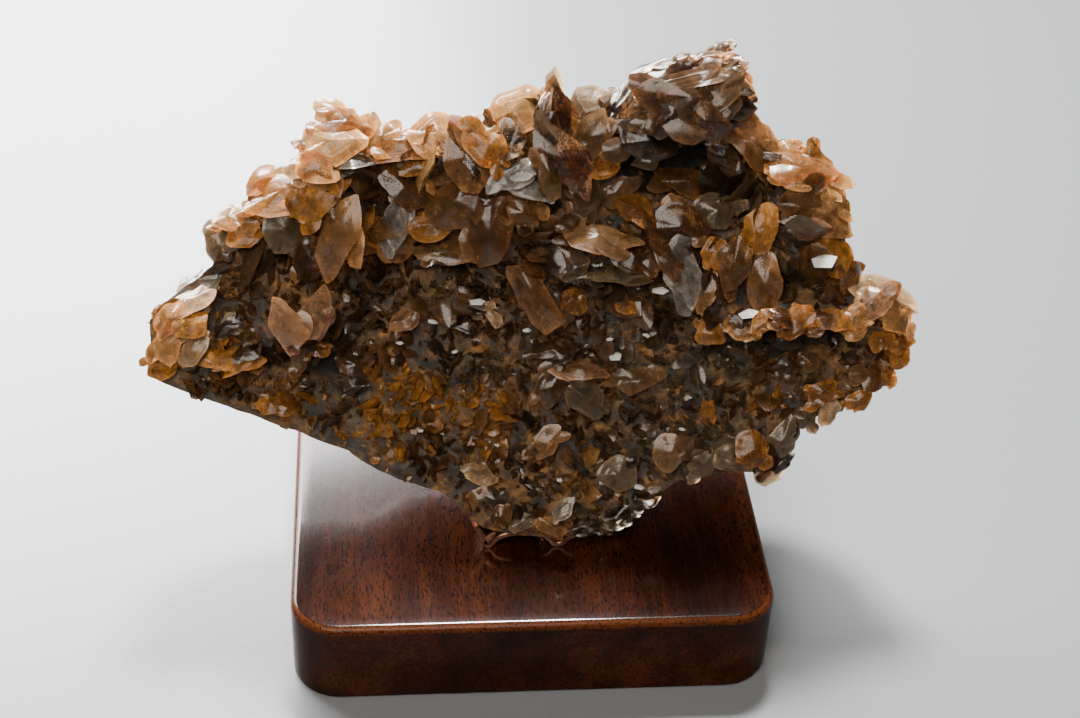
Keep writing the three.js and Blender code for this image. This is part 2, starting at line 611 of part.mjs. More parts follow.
function addPiece(name, geometry, material) {
  const mesh = new THREE.Mesh(geometry, material);
  mesh.name = name;
  group.add(mesh);
}

addPiece("wood_base", blockGeometry(), WOOD);
addPiece("front_cradle", cradleGeometry(), METAL);
addPiece("back_rest", restGeometry(), METAL);
addPiece("calcite_specimen", specimenGeometry(), CALCITE);

export default group;
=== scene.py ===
"""A ferroan calcite specimen on its wooden block: the looks of each piece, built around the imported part.

Lengths in the tables are millimetres; every mesh is written in metres.
"""
import bpy
import numpy as np
from mathutils import Matrix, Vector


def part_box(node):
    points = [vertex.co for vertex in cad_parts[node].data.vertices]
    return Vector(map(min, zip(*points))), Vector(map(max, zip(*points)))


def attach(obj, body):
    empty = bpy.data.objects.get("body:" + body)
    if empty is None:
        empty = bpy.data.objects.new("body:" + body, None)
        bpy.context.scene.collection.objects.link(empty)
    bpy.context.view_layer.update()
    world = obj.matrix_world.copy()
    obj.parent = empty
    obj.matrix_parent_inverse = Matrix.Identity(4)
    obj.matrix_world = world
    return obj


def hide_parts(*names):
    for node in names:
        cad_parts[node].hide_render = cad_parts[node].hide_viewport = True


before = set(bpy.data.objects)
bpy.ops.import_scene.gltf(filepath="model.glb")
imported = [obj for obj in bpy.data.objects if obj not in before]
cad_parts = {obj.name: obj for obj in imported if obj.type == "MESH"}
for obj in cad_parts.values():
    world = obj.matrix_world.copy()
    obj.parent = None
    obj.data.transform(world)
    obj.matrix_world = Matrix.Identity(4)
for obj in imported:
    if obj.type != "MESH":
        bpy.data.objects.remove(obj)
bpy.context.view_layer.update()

MM = 0.001
TURN = 2 * np.pi

# The leaning face of the specimen: u to the right, v up the lean, n out towards the front.
LEAN = np.radians(25)
FACE_FOOT = np.array([0.0, -26.0, 20.5])
FACE = np.array([
    [1.0, 0.0, 0.0],
    [0.0, np.sin(LEAN), np.cos(LEAN)],
    [0.0, -np.cos(LEAN), np.sin(LEAN)],
])

# The slab of rock: its middle and its outline in u and v, the level of its front, its thickness
# in the middle and at its side, and the height of the seat that it rests on.
SLAB_MIDDLE = np.array([0.0, 45.0])
SLAB_OUTLINE = np.array([
    (-69.5, 44), (-63, 49.5), (-58, 52.5), (-56.5, 59), (-54.5, 61), (-49.5, 63), (-47, 66),
    (-43, 69), (-40, 74), (-36, 78), (-31.5, 76.5), (-26, 74), (-19, 75), (-12, 77),
    (-5, 80), (2, 82.5), (7, 79.5), (13, 80), (18, 82.5), (24, 87), (30, 88.5), (35.5, 87.5),
    (36.5, 79), (39, 73.5), (47, 71.5), (53, 69), (56, 64.5), (56.5, 56), (58.5, 50), (64.5, 47),
    (69, 43), (70.5, 36), (69, 30.5), (62.5, 25), (54.5, 22.5), (50.5, 19.5), (49, 13), (38, 12.5),
    (29, 11), (22, 7), (16, 3.6), (10, 1.2), (4, 1), (-3, 1.6), (-9, 3.8), (-13, 6.8), (-17, 9.6),
    (-21, 10.6), (-27, 13), (-34.5, 18), (-43, 21.6), (-52, 25.2), (-62, 29), (-69.5, 32.5),
    (-69.5, 38),
])
SLAB_FRONT = -4
SLAB_THICKNESS = 20
SLAB_SIDE = 10
SEAT_HEIGHT = 22.6

# Swellings and hollows of the front: u, v, spread in u, spread in v, height.
SWELLINGS = np.array([
    (28, 84, 12, 8, 9), (25, 70.5, 11, 4.5, -9), (-3, 74, 22, 12, 6), (-36, 74, 9, 8, 3),
    (-38, 60, 8, 9, 6), (-28, 55, 3.5, 9, -6), (-43, 44, 8, 6, 6), (-36, 33.5, 7, 3, -8),
    (8, 55, 20, 10, 5), (40, 54, 14, 8, 6), (50, 66, 10, 9, 4), (47, 44, 14, 3.2, 8),
    (45, 35.5, 12, 2.6, -6), (66, 42, 6, 8, 4), (41, 17, 8, 6, 4), (-62, 42, 8, 8, 4),
    (0, 30, 30, 14, 3), (5, 5, 14, 8, 5), (-10, 5, 6, 5, 4),
])

# Hollows between the crystals, painted dark as shade: u, v, half-length in u, half-length in v.
HOLLOWS = np.array([
    (-36.5, 34, 7, 2.8), (46, 37.2, 13, 1.9), (25, 71.5, 11, 3.6), (-27.5, 56, 2, 6),
    (-33, 29.5, 6, 1.6),
])

# Each finish of a crystal: its body colour, how rusty it is, how clear it is, all from 0 to 1.
FINISHES = {
    "peach": ((0.93, 0.46, 0.16), 0.21, 0.80),
    "haze": ((0.82, 0.54, 0.29), 0.14, 0.80),
    "clear": ((0.88, 0.72, 0.54), 0.04, 0.94),
    "frost": ((0.72, 0.63, 0.53), 0.08, 0.81),
    "grey": ((0.47, 0.32, 0.18), 0.14, 0.90),
    "smoky": ((0.42, 0.225, 0.095), 0.19, 0.87),
    "dark": ((0.19, 0.105, 0.05), 0.18, 0.86),
    "umber": ((0.29, 0.15, 0.068), 0.20, 0.86),
    "brown": ((0.44, 0.21, 0.075), 0.25, 0.84),
    "rose": ((0.60, 0.31, 0.15), 0.24, 0.86),
    "amber": ((0.57, 0.235, 0.055), 0.40, 0.78),
    "rust": ((0.38, 0.15, 0.03), 0.58, 0.60),
}

# The large crystals, by the part of the specimen they grow on. Each row gives the place u, v and
# the lift above the rock, the half-length and half-width, then the turn of the long axis from u, the
# tip about that axis (below zero faces up), the rise of the axis in degrees, and the finish.
UPPER_LEFT = [
    (-33.5, 78.8, 1, 5.8, 5.2, -15, -48, 0, "peach"),
    (-36.2, 75.4, 3, 7, 5.8, 12, -38, 0, "peach"),
    (-41, 71.8, 2, 3.8, 3, 20, -50, 0, "haze"),
    (-32.5, 73, 3, 4.6, 3, 5, -62, 0, "clear"),
    (-30.5, 77, 0, 3.6, 3.6, -50, -30, 0, "peach"),
    (-44.6, 66.8, 3, 7.6, 5, 16, -40, 0, "amber"),
    (-46.5, 64, 3, 4.4, 3, -35, -10, 0, "rust"),
    (-44.5, 60.6, 3, 4.8, 4, 80, 12, 0, "grey"),
    (-49, 63.4, 2, 2.6, 2, -20, -40, 0, "rust"),
    (-54.6, 61.8, 1, 3.4, 2.6, 10, -40, 0, "peach"),
    (-51.2, 61.2, 2, 3.2, 2.6, 60, -15, 0, "peach"),
    (-56.3, 57, 1, 3.4, 3.2, 80, 0, 0, "grey"),
    (-51.8, 58.4, 2, 3.6, 2.4, 5, -35, 0, "amber"),
    (-34.8, 60.5, 4, 9, 4.2, 73, -30, 8, "brown"),
    (-38.5, 66.5, 3, 5.6, 3.8, 50, -20, 0, "rust"),
    (-40, 55, 2, 5, 3.4, 60, 5, 0, "brown"),
    (-37.6, 68.8, 4, 4, 2.4, -45, 10, 0, "amber"),
]
CROWN = [
    (-23, 75.2, 2, 6.8, 4.8, 5, -42, 0, "amber"),
    (-26.5, 76.2, 1, 4, 3.4, 40, -40, 0, "peach"),
    (-17, 76.8, 1, 6.2, 4.8, -12, -32, 0, "peach"),
    (-12.6, 73.6, 3, 7, 3.8, -68, -10, 5, "brown"),
    (-9.5, 78.6, 0, 5, 3.4, 15, -50, 0, "rust"),
    (-3.2, 80.8, 1, 6, 5.2, 30, -25, 0, "peach"),
    (1, 81.8, 3, 3.4, 1.5, 62, -60, 0, "clear"),
    (2.8, 81.4, 1, 6.2, 2.8, 82, -12, 0, "haze"),
    (4.6, 81, 2, 5.4, 2.4, 98, 20, 0, "rose"),
    (1.4, 80.8, 2.8, 5, 1.8, 70, -40, 0, "haze"),
    (9.8, 80.8, 0, 5.2, 4.2, 64, -20, 0, "grey"),
    (10.6, 77, 3.4, 5, 3.4, 70, -24, 0, "smoky"),
    (14.3, 82, 1, 4.6, 2.4, 48, -58, 0, "clear"),
    (13, 83.6, -1, 2.8, 1.8, 10, -40, 0, "clear"),
    (-8.4, 75.6, 4, 4.8, 3.4, -35, -15, 0, "amber"),
    (-10.4, 72.6, 3, 3.6, 2.6, -50, -30, 0, "clear"),
    (-4.2, 75.6, 3, 3.4, 2.8, 70, -20, 0, "clear"),
    (-5.4, 70.4, 3, 5.4, 3.4, 35, -34, 0, "frost"),
    (-0.6, 68.2, 3, 5.2, 3, -16, -40, 0, "frost"),
    (5.2, 73.2, 4, 8.4, 4.6, -54, -10, 0, "rose"),
    (2.2, 70.6, 5, 4.8, 2.4, -70, -24, 0, "smoky"),
    (10.4, 72.4, 4, 4.8, 3.4, -12, -25, 0, "amber"),
    (12.6, 69.6, 3, 3.4, 2.4, 20, -10, 0, "grey"),
    (9, 67, 3, 5.4, 3.2, -80, 10, 0, "smoky"),
    (-13.4, 65.6, 3, 6.8, 5, 50, -15, 0, "brown"),
    (-23.2, 67.8, 3, 5.2, 3.4, -32, -20, 0, "brown"),
    (-24.6, 61.4, 4, 5, 2.6, 78, -35, 0, "frost"),
    (-24.8, 57.4, 4, 4.4, 3.6, 85, 10, 0, "brown"),
    (-8, 60.2, 4, 7.6, 4.2, 86, -5, 0, "brown"),
    (-18, 61, 3, 4.6, 3, 20, -20, 0, "rust"),
    (-2, 63.5, 3, 4.4, 3.4, -30, -10, 0, "brown"),
]
OVERHANG = [
    (28, 88.8, 3, 10.4, 5.4, 12, -66, 0, "dark"),
    (28.6, 89.8, 1.5, 7.4, 4.4, 16, -70, 0, "umber"),
    (24, 88.4, 5, 5, 1.4, 28, -66, 0, "smoky"),
    (29.6, 90.6, 5, 5.6, 1.3, 10, -62, 0, "rose"),
    (33.8, 90, 5, 3.6, 1.4, -22, -60, 0, "clear"),
    (21.4, 86.6, 5, 4, 1.3, 42, -56, 0, "grey"),
    (25.4, 87.6, 4.5, 7.2, 4.2, 20, -60, 0, "dark"),
    (33, 86.6, 4.5, 5.4, 3.4, -14, -52, 0, "dark"),
    (33.6, 91.4, 2, 2.8, 2.2, 60, -30, 0, "clear"),
    (26.6, 90, 1, 2.4, 1.8, 20, -30, 0, "clear"),
    (26.8, 84.4, 5, 9.4, 6.4, -5, -6, 0, "umber"),
    (31, 85.4, 6.4, 5.6, 3.4, 30, -24, 0, "dark"),
    (23.4, 81.6, 7, 4.8, 3, 62, -6, 0, "umber"),
    (29.2, 80.6, 8, 6, 3.2, -36, 8, 0, "umber"),
    (20.6, 85.6, 3, 5.4, 3.6, 40, -40, 0, "smoky"),
    (37, 88, 2, 3.2, 2.2, -60, -40, 0, "peach"),
    (37.6, 85, 3, 3, 2, -40, -30, 0, "peach"),
    (35.4, 82.2, 5, 4.2, 2.4, 15, 0, 0, "dark"),
    (34.2, 79.4, 5, 2.8, 1.6, 10, -10, 0, "clear"),
    (37, 80.5, 2, 4, 3.2, -60, 0, 0, "brown"),
    (16.6, 83, 2, 5, 2.8, 56, -52, 0, "clear"),
    (20, 82, 4, 3.8, 2.8, 20, 0, 0, "smoky"),
    (20, 76.4, 7, 6.8, 4.6, -4, -8, 0, "dark"),
    (35.2, 72.6, 4, 4.8, 2.6, -56, 0, 0, "dark"),
    (28.8, 67.6, 4, 6.2, 3.4, -12, -25, 0, "brown"),
    (32.4, 68.6, 2, 3.6, 2, 30, -20, 0, "dark"),
]
RIGHT_SHOULDER = [
    (40.6, 75, 3, 6.4, 4.6, -42, -20, 0, "brown"),
    (47, 73.4, 2, 3.4, 2.8, 10, -30, 0, "peach"),
    (49, 70.4, 3, 8.6, 4.4, -14, -34, 0, "peach"),
    (52.6, 72.2, 1, 3.8, 2, -58, -20, 0, "amber"),
    (54.6, 69, 1, 3.6, 2.2, -40, -45, 0, "haze"),
    (43.6, 73, 4, 2.4, 1.4, -10, -50, 0, "clear"),
    (53, 62.6, 3, 6.4, 5.0, -30, -8, 0, "brown"),
    (55, 65.2, 3.4, 4.4, 2.6, -52, -26, 0, "peach"),
    (50.4, 60.2, 4.4, 4, 2.2, 12, -20, 0, "rose"),
    (54, 56.4, 3, 6.2, 4.6, -70, 5, 0, "rust"),
    (48.5, 64.5, 3, 5, 4.2, 30, 10, 0, "brown"),
    (41, 59.2, 3, 5.6, 3.6, 76, -10, 0, "rust"),
    (33.6, 63, 3, 4.8, 3.6, 20, -15, 0, "grey"),
    (26.6, 60.6, 4, 5.2, 4.4, -15, -5, 0, "brown"),
    (18.6, 63.6, 3, 4.4, 2.8, -30, -25, 0, "amber"),
    (15, 66.6, 3, 4.2, 2.6, 35, 0, 0, "smoky"),
    (56.6, 54, 1, 5, 3.2, -60, -5, 0, "rust"),
]
HEART = [
    (11.5, 58.6, 4, 7.8, 3.6, -3, -42, 0, "smoky"),
    (18, 55.4, 3, 4.6, 3.2, -20, -20, 0, "brown"),
    (27.6, 51, 4, 7.4, 3.5, -74, -5, 0, "frost"),
    (24.4, 54.6, 5, 4.8, 2.2, -58, -16, 0, "rose"),
    (31.2, 48.4, 4, 4.4, 1.8, 62, -30, 0, "brown"),
    (36, 54, 3, 5.2, 3.4, 80, 0, 0, "brown"),
    (42, 50, 4, 6.6, 3.2, 85, -10, 0, "brown"),
    (33, 56, 3, 3.6, 2.6, 40, -10, 0, "rust"),
    (-15.6, 56, 3, 7.2, 3.2, 5, -52, 0, "smoky"),
    (0.8, 47.2, 3, 8.8, 3.8, -58, 5, 0, "brown"),
    (7, 47.4, 4, 2.6, 2.3, 0, -20, 0, "amber"),
    (7.6, 53.4, 3, 3.6, 2.2, 35, -20, 0, "grey"),
    (14.6, 52, 3, 6.2, 2.4, -2, -55, 0, "grey"),
    (-11.8, 42.4, 2, 3.6, 2, 0, -40, 0, "grey"),
    (-10, 46.2, 3, 2.2, 1.5, -20, -64, 0, "clear"),
    (-7.2, 43.8, 2, 2.6, 1.4, -60, -20, 0, "haze"),
    (-23.4, 43, 3, 3, 2.2, 24, -24, 0, "rose"),
    (4, 37.2, 2, 5.2, 2.6, 5, -30, 0, "dark"),
    (9.2, 33.4, 2, 5, 2.2, -8, -45, 0, "rose"),
    (9.5, 28.5, 2, 5.4, 3.2, -48, -12, 0, "grey"),
    (3.6, 30.5, 2, 4.6, 2.8, 58, -6, 0, "smoky"),
    (20, 31, 2, 4.4, 2.6, 24, -20, 0, "smoky"),
    (17.2, 45.6, 3, 2.2, 1.8, 0, -20, 0, "amber"),
]
LEDGE = [
    (33.4, 40, 3, 3, 2.8, 0, -10, 0, "amber"),
    (38.6, 41.8, 3, 3.6, 2.6, 15, -35, 0, "peach"),
    (42, 43.4, 3, 3.2, 2.2, 30, -30, 0, "amber"),
    (44.6, 44.6, 4, 3, 2.2, -10, -40, 0, "rose"),
    (47, 43.8, 4, 3.4, 2.4, 50, -30, 0, "amber"),
    (49.6, 44.4, 3, 3.2, 2.2, -30, -20, 0, "amber"),
    (52, 43.4, 3, 3.4, 2.4, 20, -40, 0, "rose"),
    (55.4, 43.2, 3, 3.4, 2.4, -20, -35, 0, "amber"),
    (58.8, 43, 3, 3.8, 2.8, 30, -25, 0, "peach"),
    (48.6, 32.8, 2, 2.8, 2.6, 0, -15, 0, "smoky"),
    (53.2, 33.4, 2, 2.6, 2.6, 40, -15, 0, "smoky"),
    (62, 31.5, 2, 2.4, 1.8, -10, -20, 0, "smoky"),
    (55.2, 28, 2, 3.8, 2.4, 20, -15, 0, "amber"),
]
RIGHT_LOBE = [
    (65.6, 45.8, 1, 6.4, 5, -20, -35, 0, "haze"),
    (67.8, 43, 2, 4.2, 3.2, -70, -20, 0, "peach"),
    (62.6, 46, 3, 4.6, 3.4, 30, -25, 0, "rose"),
    (69, 38.2, 2, 3, 2.4, 0, -20, 0, "amber"),
    (65, 38.6, 3, 2.8, 2.2, 40, -30, 0, "amber"),
    (69.4, 34.6, 1, 3, 2.2, -60, 0, 0, "rust"),
]
LEFT_TIP = [
    (-65.2, 44.4, 2, 4.2, 3.2, 60, -24, 0, "peach"),
    (-61.2, 47.4, 2, 4.6, 3, 28, -48, 0, "haze"),
    (-61, 43.4, 3, 3.6, 2.4, 20, -30, 0, "rust"),
    (-66, 39.6, 2, 4.8, 3, 74, -10, 0, "peach"),
    (-61.4, 38.6, 2, 3.8, 2.4, 52, -20, 0, "haze"),
    (-67.8, 35.2, 1, 3.4, 2.8, 20, 0, 0, "rust"),
    (-60.5, 50.4, 0, 4.4, 2.4, 35, -40, 0, "clear"),
    (-56, 36.6, 2, 7.6, 2.6, -2, -40, 0, "rust"),
    (-51.5, 38.2, 3, 3.4, 2.2, 20, -52, 0, "clear"),
    (-55.4, 42.6, 2, 3.2, 2, 30, -40, 0, "grey"),
    (-44.4, 43.6, 4, 5.8, 4, 118, -12, 0, "rose"),
    (-39.5, 45.4, 4, 5.6, 2.9, 70, -8, 0, "rose"),
    (-42.4, 37.8, 3, 3.8, 2.2, 84, 10, 0, "brown"),
    (-39.5, 37.8, 3, 2.6, 1.5, 0, -40, 0, "amber"),
    (-32.6, 33.8, 4, 3.8, 2.4, -15, -20, 0, "smoky"),
    (-33, 30.4, 3, 3.2, 2, 10, -10, 0, "dark"),
    (-48, 27.2, 1, 3.2, 2, 15, -30, 0, "amber"),
]
SKIRT = [
    (2.8, 19.4, 2, 4.2, 2.4, 50, -5, 0, "brown"),
    (-9.4, 13.4, 2, 3.2, 2, -10, -30, 0, "haze"),
    (5.6, 7.8, 3, 3, 2, 40, -40, 0, "clear"),
    (-7, 9, 1, 3, 2.4, 0, -10, 0, "grey"),
    (9.8, 3.4, 1, 3.8, 2.4, 10, -30, 0, "clear"),
    (21.6, 7.4, 1, 3.2, 2.2, 20, -35, 0, "clear"),
    (16.5, 13, 2, 4.6, 3.6, 60, 0, 0, "grey"),
    (26.5, 17, 2, 4.2, 3.4, 80, 0, 0, "smoky"),
    (41.3, 18.8, 4, 3.6, 3.4, 0, -15, 0, "amber"),
    (47.6, 18.6, 1, 5.4, 3.2, 75, 0, 0, "grey"),
    (46.4, 13.8, 1, 4.6, 3, 40, 5, 0, "grey"),
    (38, 15.5, 1, 4, 3, -20, 0, 0, "grey"),
    (33, 14.4, 1, 3.6, 2.6, 30, 0, 0, "grey"),
    (57.2, 24, 1, 3, 2, 60, 0, 0, "haze"),
    (62.5, 26, 1, 3.2, 2.2, 40, 0, 0, "amber"),
    (66.4, 30, 1, 3.2, 2.2, 20, 0, 0, "amber"),
    (52.4, 22.6, 1, 3, 2, -30, 0, 0, "grey"),
    (-10, 9, 1, 3, 2.2, 60, -10, 0, "smoky"),
    (-6, 6, 0.6, 2.8, 2, 40, -10, 0, "brown"),
    (-1.6, 4.8, 0.6, 3.2, 2, 20, -20, 0, "grey"),
    (3.6, 3.8, 0.6, 3.2, 2, -20, -10, 0, "brown"),
    (16, 4.6, 1, 3.6, 2.4, 30, -20, 0, "clear"),
    (33.3, 24.6, 2, 2.8, 1.4, 110, -10, 0, "amber"),
]

# The pieces that the large crystals make.
LARGE_CRYSTALS = {
    "upper_left_crystals": UPPER_LEFT, "crown_crystals": CROWN, "overhang_crystals": OVERHANG,
    "right_shoulder_crystals": RIGHT_SHOULDER, "heart_crystals": HEART, "ledge_crystals": LEDGE,
    "right_lobe_crystals": RIGHT_LOBE, "left_tip_crystals": LEFT_TIP, "skirt_crystals": SKIRT,
}

# Small glinting crystals between the others: u, v, the lift above the rock and the half-length.
GLINTS = [
    (15.6, 36, 2.6, 1.5), (14.3, 39.3, 2.6, 0.8), (-1, 41.3, 2.6, 1), (21.3, 39.8, 2.6, 0.9),
    (-18.2, 42.8, 2.6, 1.1), (20.5, 10.5, 2.6, 1.2), (-24.3, 39, 2.6, 0.9), (-14.2, 37.4, 2.6, 0.7),
    (33, 47.6, 2.6, 0.9), (5.2, 12.6, 2.6, 0.8), (-20.5, 22.4, 2.6, 0.7), (44.5, 61.5, 2.6, 0.8),
    (36.6, 57.6, 2.6, 0.8), (-6.5, 19.4, 2.6, 0.7), (28.4, 21.6, 2.6, 0.7), (52.6, 54.4, 6, 3),
    (38.5, 45.2, 5, 2), (23, 49, 5, 1.8), (-10, 47, 4.6, 1.7),
]


def scatter(i, k):
    """Numbers from 0 to 1 that look random and never change: the fraction of a large sine."""
    x = np.sin(np.asarray(i) * 12.9898 + k * 78.233) * 43758.5453
    return x - np.floor(x)


def smooth(x, low, high):
    """0 below low, 1 above high, and the cubic 3 t t - 2 t t t between them."""
    t = np.clip((x - low) / (high - low), 0, 1)
    return t * t * (3 - 2 * t)


def cell_noise(points, scale, seed):
    """Smooth noise from -1 to 1: scattered values at whole places, blended between them."""
    p = points * scale
    base = np.floor(p)
    f = p - base
    f = f * f * (3 - 2 * f)
    total = np.zeros(len(points))
    for corner in np.ndindex(2, 2, 2):
        x, y, z = (base + corner).T
        sine = np.sin(x * 12.9898 + y * 78.233 + z * 37.719 + seed * 11.13) * 43758.5453
        share = np.prod(np.where(corner, f, 1 - f), axis=1)
        total += share * (sine - np.floor(sine))
    return 2 * total - 1


def rough_noise(points, scale, seed):
    """Four layers of cell noise, each twice as fine and half as high as the last."""
    layers = [cell_noise(points, scale * 2 ** k, seed + k) / 2 ** k for k in range(4)]
    return sum(layers) / 1.6


def face_place(uvn):
    """Places (u, v, n) on the leaning face as x, y, z."""
    return FACE_FOOT + uvn @ FACE


OUTLINE_ANGLES = np.arctan2(*(SLAB_OUTLINE - SLAB_MIDDLE).T[::-1])
OUTLINE_ORDER = np.argsort(OUTLINE_ANGLES)


def slab_radius(angle):
    """The slab's radius at an angle about its middle, straight between the outline's points."""
    reach = np.hypot(*(SLAB_OUTLINE - SLAB_MIDDLE).T)[OUTLINE_ORDER]
    return np.interp(angle, OUTLINE_ANGLES[OUTLINE_ORDER], reach, period=TURN)


def rim_share(u, v):
    """How far out from the middle a place is, from 0 to 1 at the slab's rim."""
    du = u - SLAB_MIDDLE[0]
    dv = v - SLAB_MIDDLE[1]
    return np.hypot(du, dv) / slab_radius(np.arctan2(dv, du))


def hollow(u, v):
    """1 in the middle of a dark hollow and 0 outside all of them, over the outer two fifths."""
    cu, cv, su, sv = HOLLOWS.T
    away = np.hypot((np.asarray(u)[..., None] - cu) / su, (np.asarray(v)[..., None] - cv) / sv)
    return 1 - smooth(away.min(-1), 0.6, 1.0)


def bare_rim(u, v):
    """1 where the rim bears no long crystals: low on the left, and over the cradle."""
    return np.maximum(smooth(-u, 8, 16) * smooth(-v, -35, -31), smooth(-v, -9, -6))


def front_level(u, v):
    """The rock's front: a level plus a bell curve for each swelling."""
    cu, cv, su, sv, height = SWELLINGS.T
    u = np.asarray(u, float)[..., None]
    v = np.asarray(v, float)[..., None]
    return SLAB_FRONT + (height * np.exp(-((u - cu) / su) ** 2 - ((v - cv) / sv) ** 2)).sum(-1)


def back_level(u, v):
    """The rock's back: lumpy, thinner at the rim, and never lower than the seat of the cradle."""
    share = np.minimum(rim_share(u, v), 1)
    full = SLAB_THICKNESS + 2.5 * np.sin(u * 0.13 + 1) * np.cos(v * 0.17)
    depth = full + (SLAB_SIDE - full) * share ** 5
    seat = (SEAT_HEIGHT - FACE_FOOT[2] - v * np.cos(LEAN)) / np.sin(LEAN)
    return np.maximum(-depth, seat)


def broken_face(u, v, seed, count, steep):
    """The height of a broken face: at each place the highest of many tilted, slightly domed chips.

    Chip i is c + g . d - q |d| |d|, where d is the way from its own middle and q is 0.012 a mm.
    """
    i = seed + np.arange(count)
    cu, cv = 160 * scatter(i, 21) - 80, 110 * scatter(i, 22) - 8
    gu, gv = steep * (scatter(i, 23) - 0.5), steep * (scatter(i, 24) - 0.5)
    du = u.reshape(-1, 1) - cu
    dv = v.reshape(-1, 1) - cv
    chips = 2.5 * scatter(i, 25) + gu * du + gv * dv - 0.012 * (du ** 2 + dv ** 2)
    return chips.max(1).reshape(u.shape)


def new_piece(name, points, quads, triangles, slot, nodes, material, sharp=None):
    """A mesh object from points in millimetres and rows of point numbers, on the one body.

    Its faces are smooth, apart from edges sharper than this many degrees, or flat if none is given.
    """
    mesh = bpy.data.meshes.new(name)
    mesh.vertices.add(len(points))
    mesh.vertices.foreach_set("co", (points * MM).astype(np.float32).ravel())
    corners = np.concatenate([quads.ravel(), triangles.ravel()]).astype(np.int32)
    mesh.loops.add(len(corners))
    mesh.loops.foreach_set("vertex_index", corners)
    starts = np.concatenate([
        4 * np.arange(len(quads)), 4 * len(quads) + 3 * np.arange(len(triangles)),
    ])
    mesh.polygons.add(len(starts))
    mesh.polygons.foreach_set("loop_start", starts.astype(np.int32))
    mesh.update(calc_edges=True)
    mesh.polygons.foreach_set("use_smooth", np.full(len(starts), sharp is not None))
    if sharp is not None:
        mesh.set_sharp_from_angle(angle=np.radians(sharp))
    piece = bpy.data.objects.new(name, mesh)
    bpy.context.scene.collection.objects.link(piece)
    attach(piece, "root")
    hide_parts(*nodes)
    mesh.materials.append(material)
    return piece


def poled_faces(circles, spokes):
    """A closed skin: a first pole, circles of points from it to the other side, a last pole."""
    k = np.arange(spokes)
    beside = (k + 1) % spokes
    start = 1 + spokes * np.arange(circles - 1)[:, None]
    below = start + spokes
    quads = np.stack([start + k, below + k, below + beside, start + beside], -1).reshape(-1, 4)
    last = 1 + (circles - 1) * spokes
    first_fan = np.stack([0 * k, 1 + k, 1 + beside], -1)
    last_fan = np.stack([0 * k + last + spokes, last + beside, last + k], -1)
    return quads, np.concatenate([first_fan, last_fan])


# Profiles of a lens from its pole to its rim: the share of the radius and the height. A large
# crystal has low growth steps.
STEPPED = np.array([
    (0.16, 0.88), (0.34, 0.71), (0.50, 0.56), (0.512, 0.525), (0.66, 0.395), (0.672, 0.36),
    (0.80, 0.235), (0.812, 0.205), (0.92, 0.09), (0.97, 0.035), (1.0, 0.0),
])
BEVELLED = np.array([(0.60, 0.46), (0.93, 0.10), (1.0, 0.0)])
SIMPLE = np.array([(0.6, 0.48), (1.0, 0.0)])

# Of every lens: how far its rim waves up and down, how far its ends bend, and how uneven it is.
WARP = 0.33
MOST_BEND = 0.8
UNEVENNESS = 0.06


def lens_outline(ids, angle):
    """The outline of each lens: a blend of an ellipse and a pointed boat, cut straight in places.

    At the angle t, the place is (cos t, sin t (1 - q + q |sin t|)) with q from 0.05 to 0.65, wider at
    one end and moved in and out by waves of 3 and 7. It is kept inside a straight cut in each fifth
    of the turn, whose distance from the middle is 0.66 to 1.06.
    """
    number = {k: scatter(ids, k)[:, None] for k in range(31, 45)}
    pointed = 0.05 + 0.6 * number[41]
    sine = np.sin(angle)
    x = np.cos(angle) * (1 + 0 * pointed)
    y = sine * (1 - pointed + pointed * np.abs(sine)) * (1 + 0.6 * (number[42] - 0.5) * x)
    waves = 1.06 + 0.05 * np.cos(3 * angle + TURN * number[43])
    waves += 0.02 * np.cos(7 * angle + TURN * number[44])
    x, y = x * waves, y * waves
    reach = np.hypot(x, y)
    heading = np.arctan2(y, x)
    kept = np.ones_like(reach)
    for cut in range(5):
        facing = np.cos(heading - TURN * (0.2 * cut + 0.16 * number[31 + cut]))
        limit = 0.66 + 0.40 * number[36 + cut]
        kept = np.minimum(kept, limit / np.maximum(facing * reach, 1e-6))
    return x * kept, y * kept


def lens_points(size, ids, profile, spokes):
    """Lenses about their own middles, one a row of size (half-length, half-width, half-thickness).

    Each side has three flat faces, as the crystals of calcite do. At the share r of the radius and
    the angle p, they are at plus or minus the profile's height, plus WARP r^1.2 w, where w is a
    triangle wave of 3 p from -1 to 1. The whole lens is bent by a parabola along its length.
    """
    angle = np.arange(spokes) / spokes * TURN
    three = np.arcsin(np.cos(3 * angle + TURN * scatter(ids, 40)[:, None]))[:, None] * (4 / TURN)
    r, height = profile.T
    wave = WARP * (r ** 1.2)[:, None] * three
    upper = wave + height[:, None]
    lower = wave - height[:, None]
    circles = np.concatenate([upper, lower[:, -2::-1]], axis=1)
    share = np.concatenate([r, r[-2::-1]])[:, None]
    x, y = lens_outline(ids, angle)
    ring = np.stack([share * x[:, None], share * y[:, None], circles], -1).reshape(len(ids), -1, 3)
    pole = np.zeros((len(ids), 1, 3))
    pole[:, :, 2] = 1
    points = np.concatenate([pole, ring, -pole], axis=1)
    bend = MOST_BEND * (scatter(ids, 47) - 0.5)[:, None]
    points[:, :, 2] += bend * (points[:, :, 0] ** 2 - 0.3)
    return points * size[:, None, :]


def lens_rim(profile, spokes):
    """How far out each point of one lens is: 0 at its poles and 1 at its rim."""
    r = profile[:, 0]
    return np.concatenate([[0], np.repeat(np.concatenate([r, r[-2::-1]]), spokes), [0]])


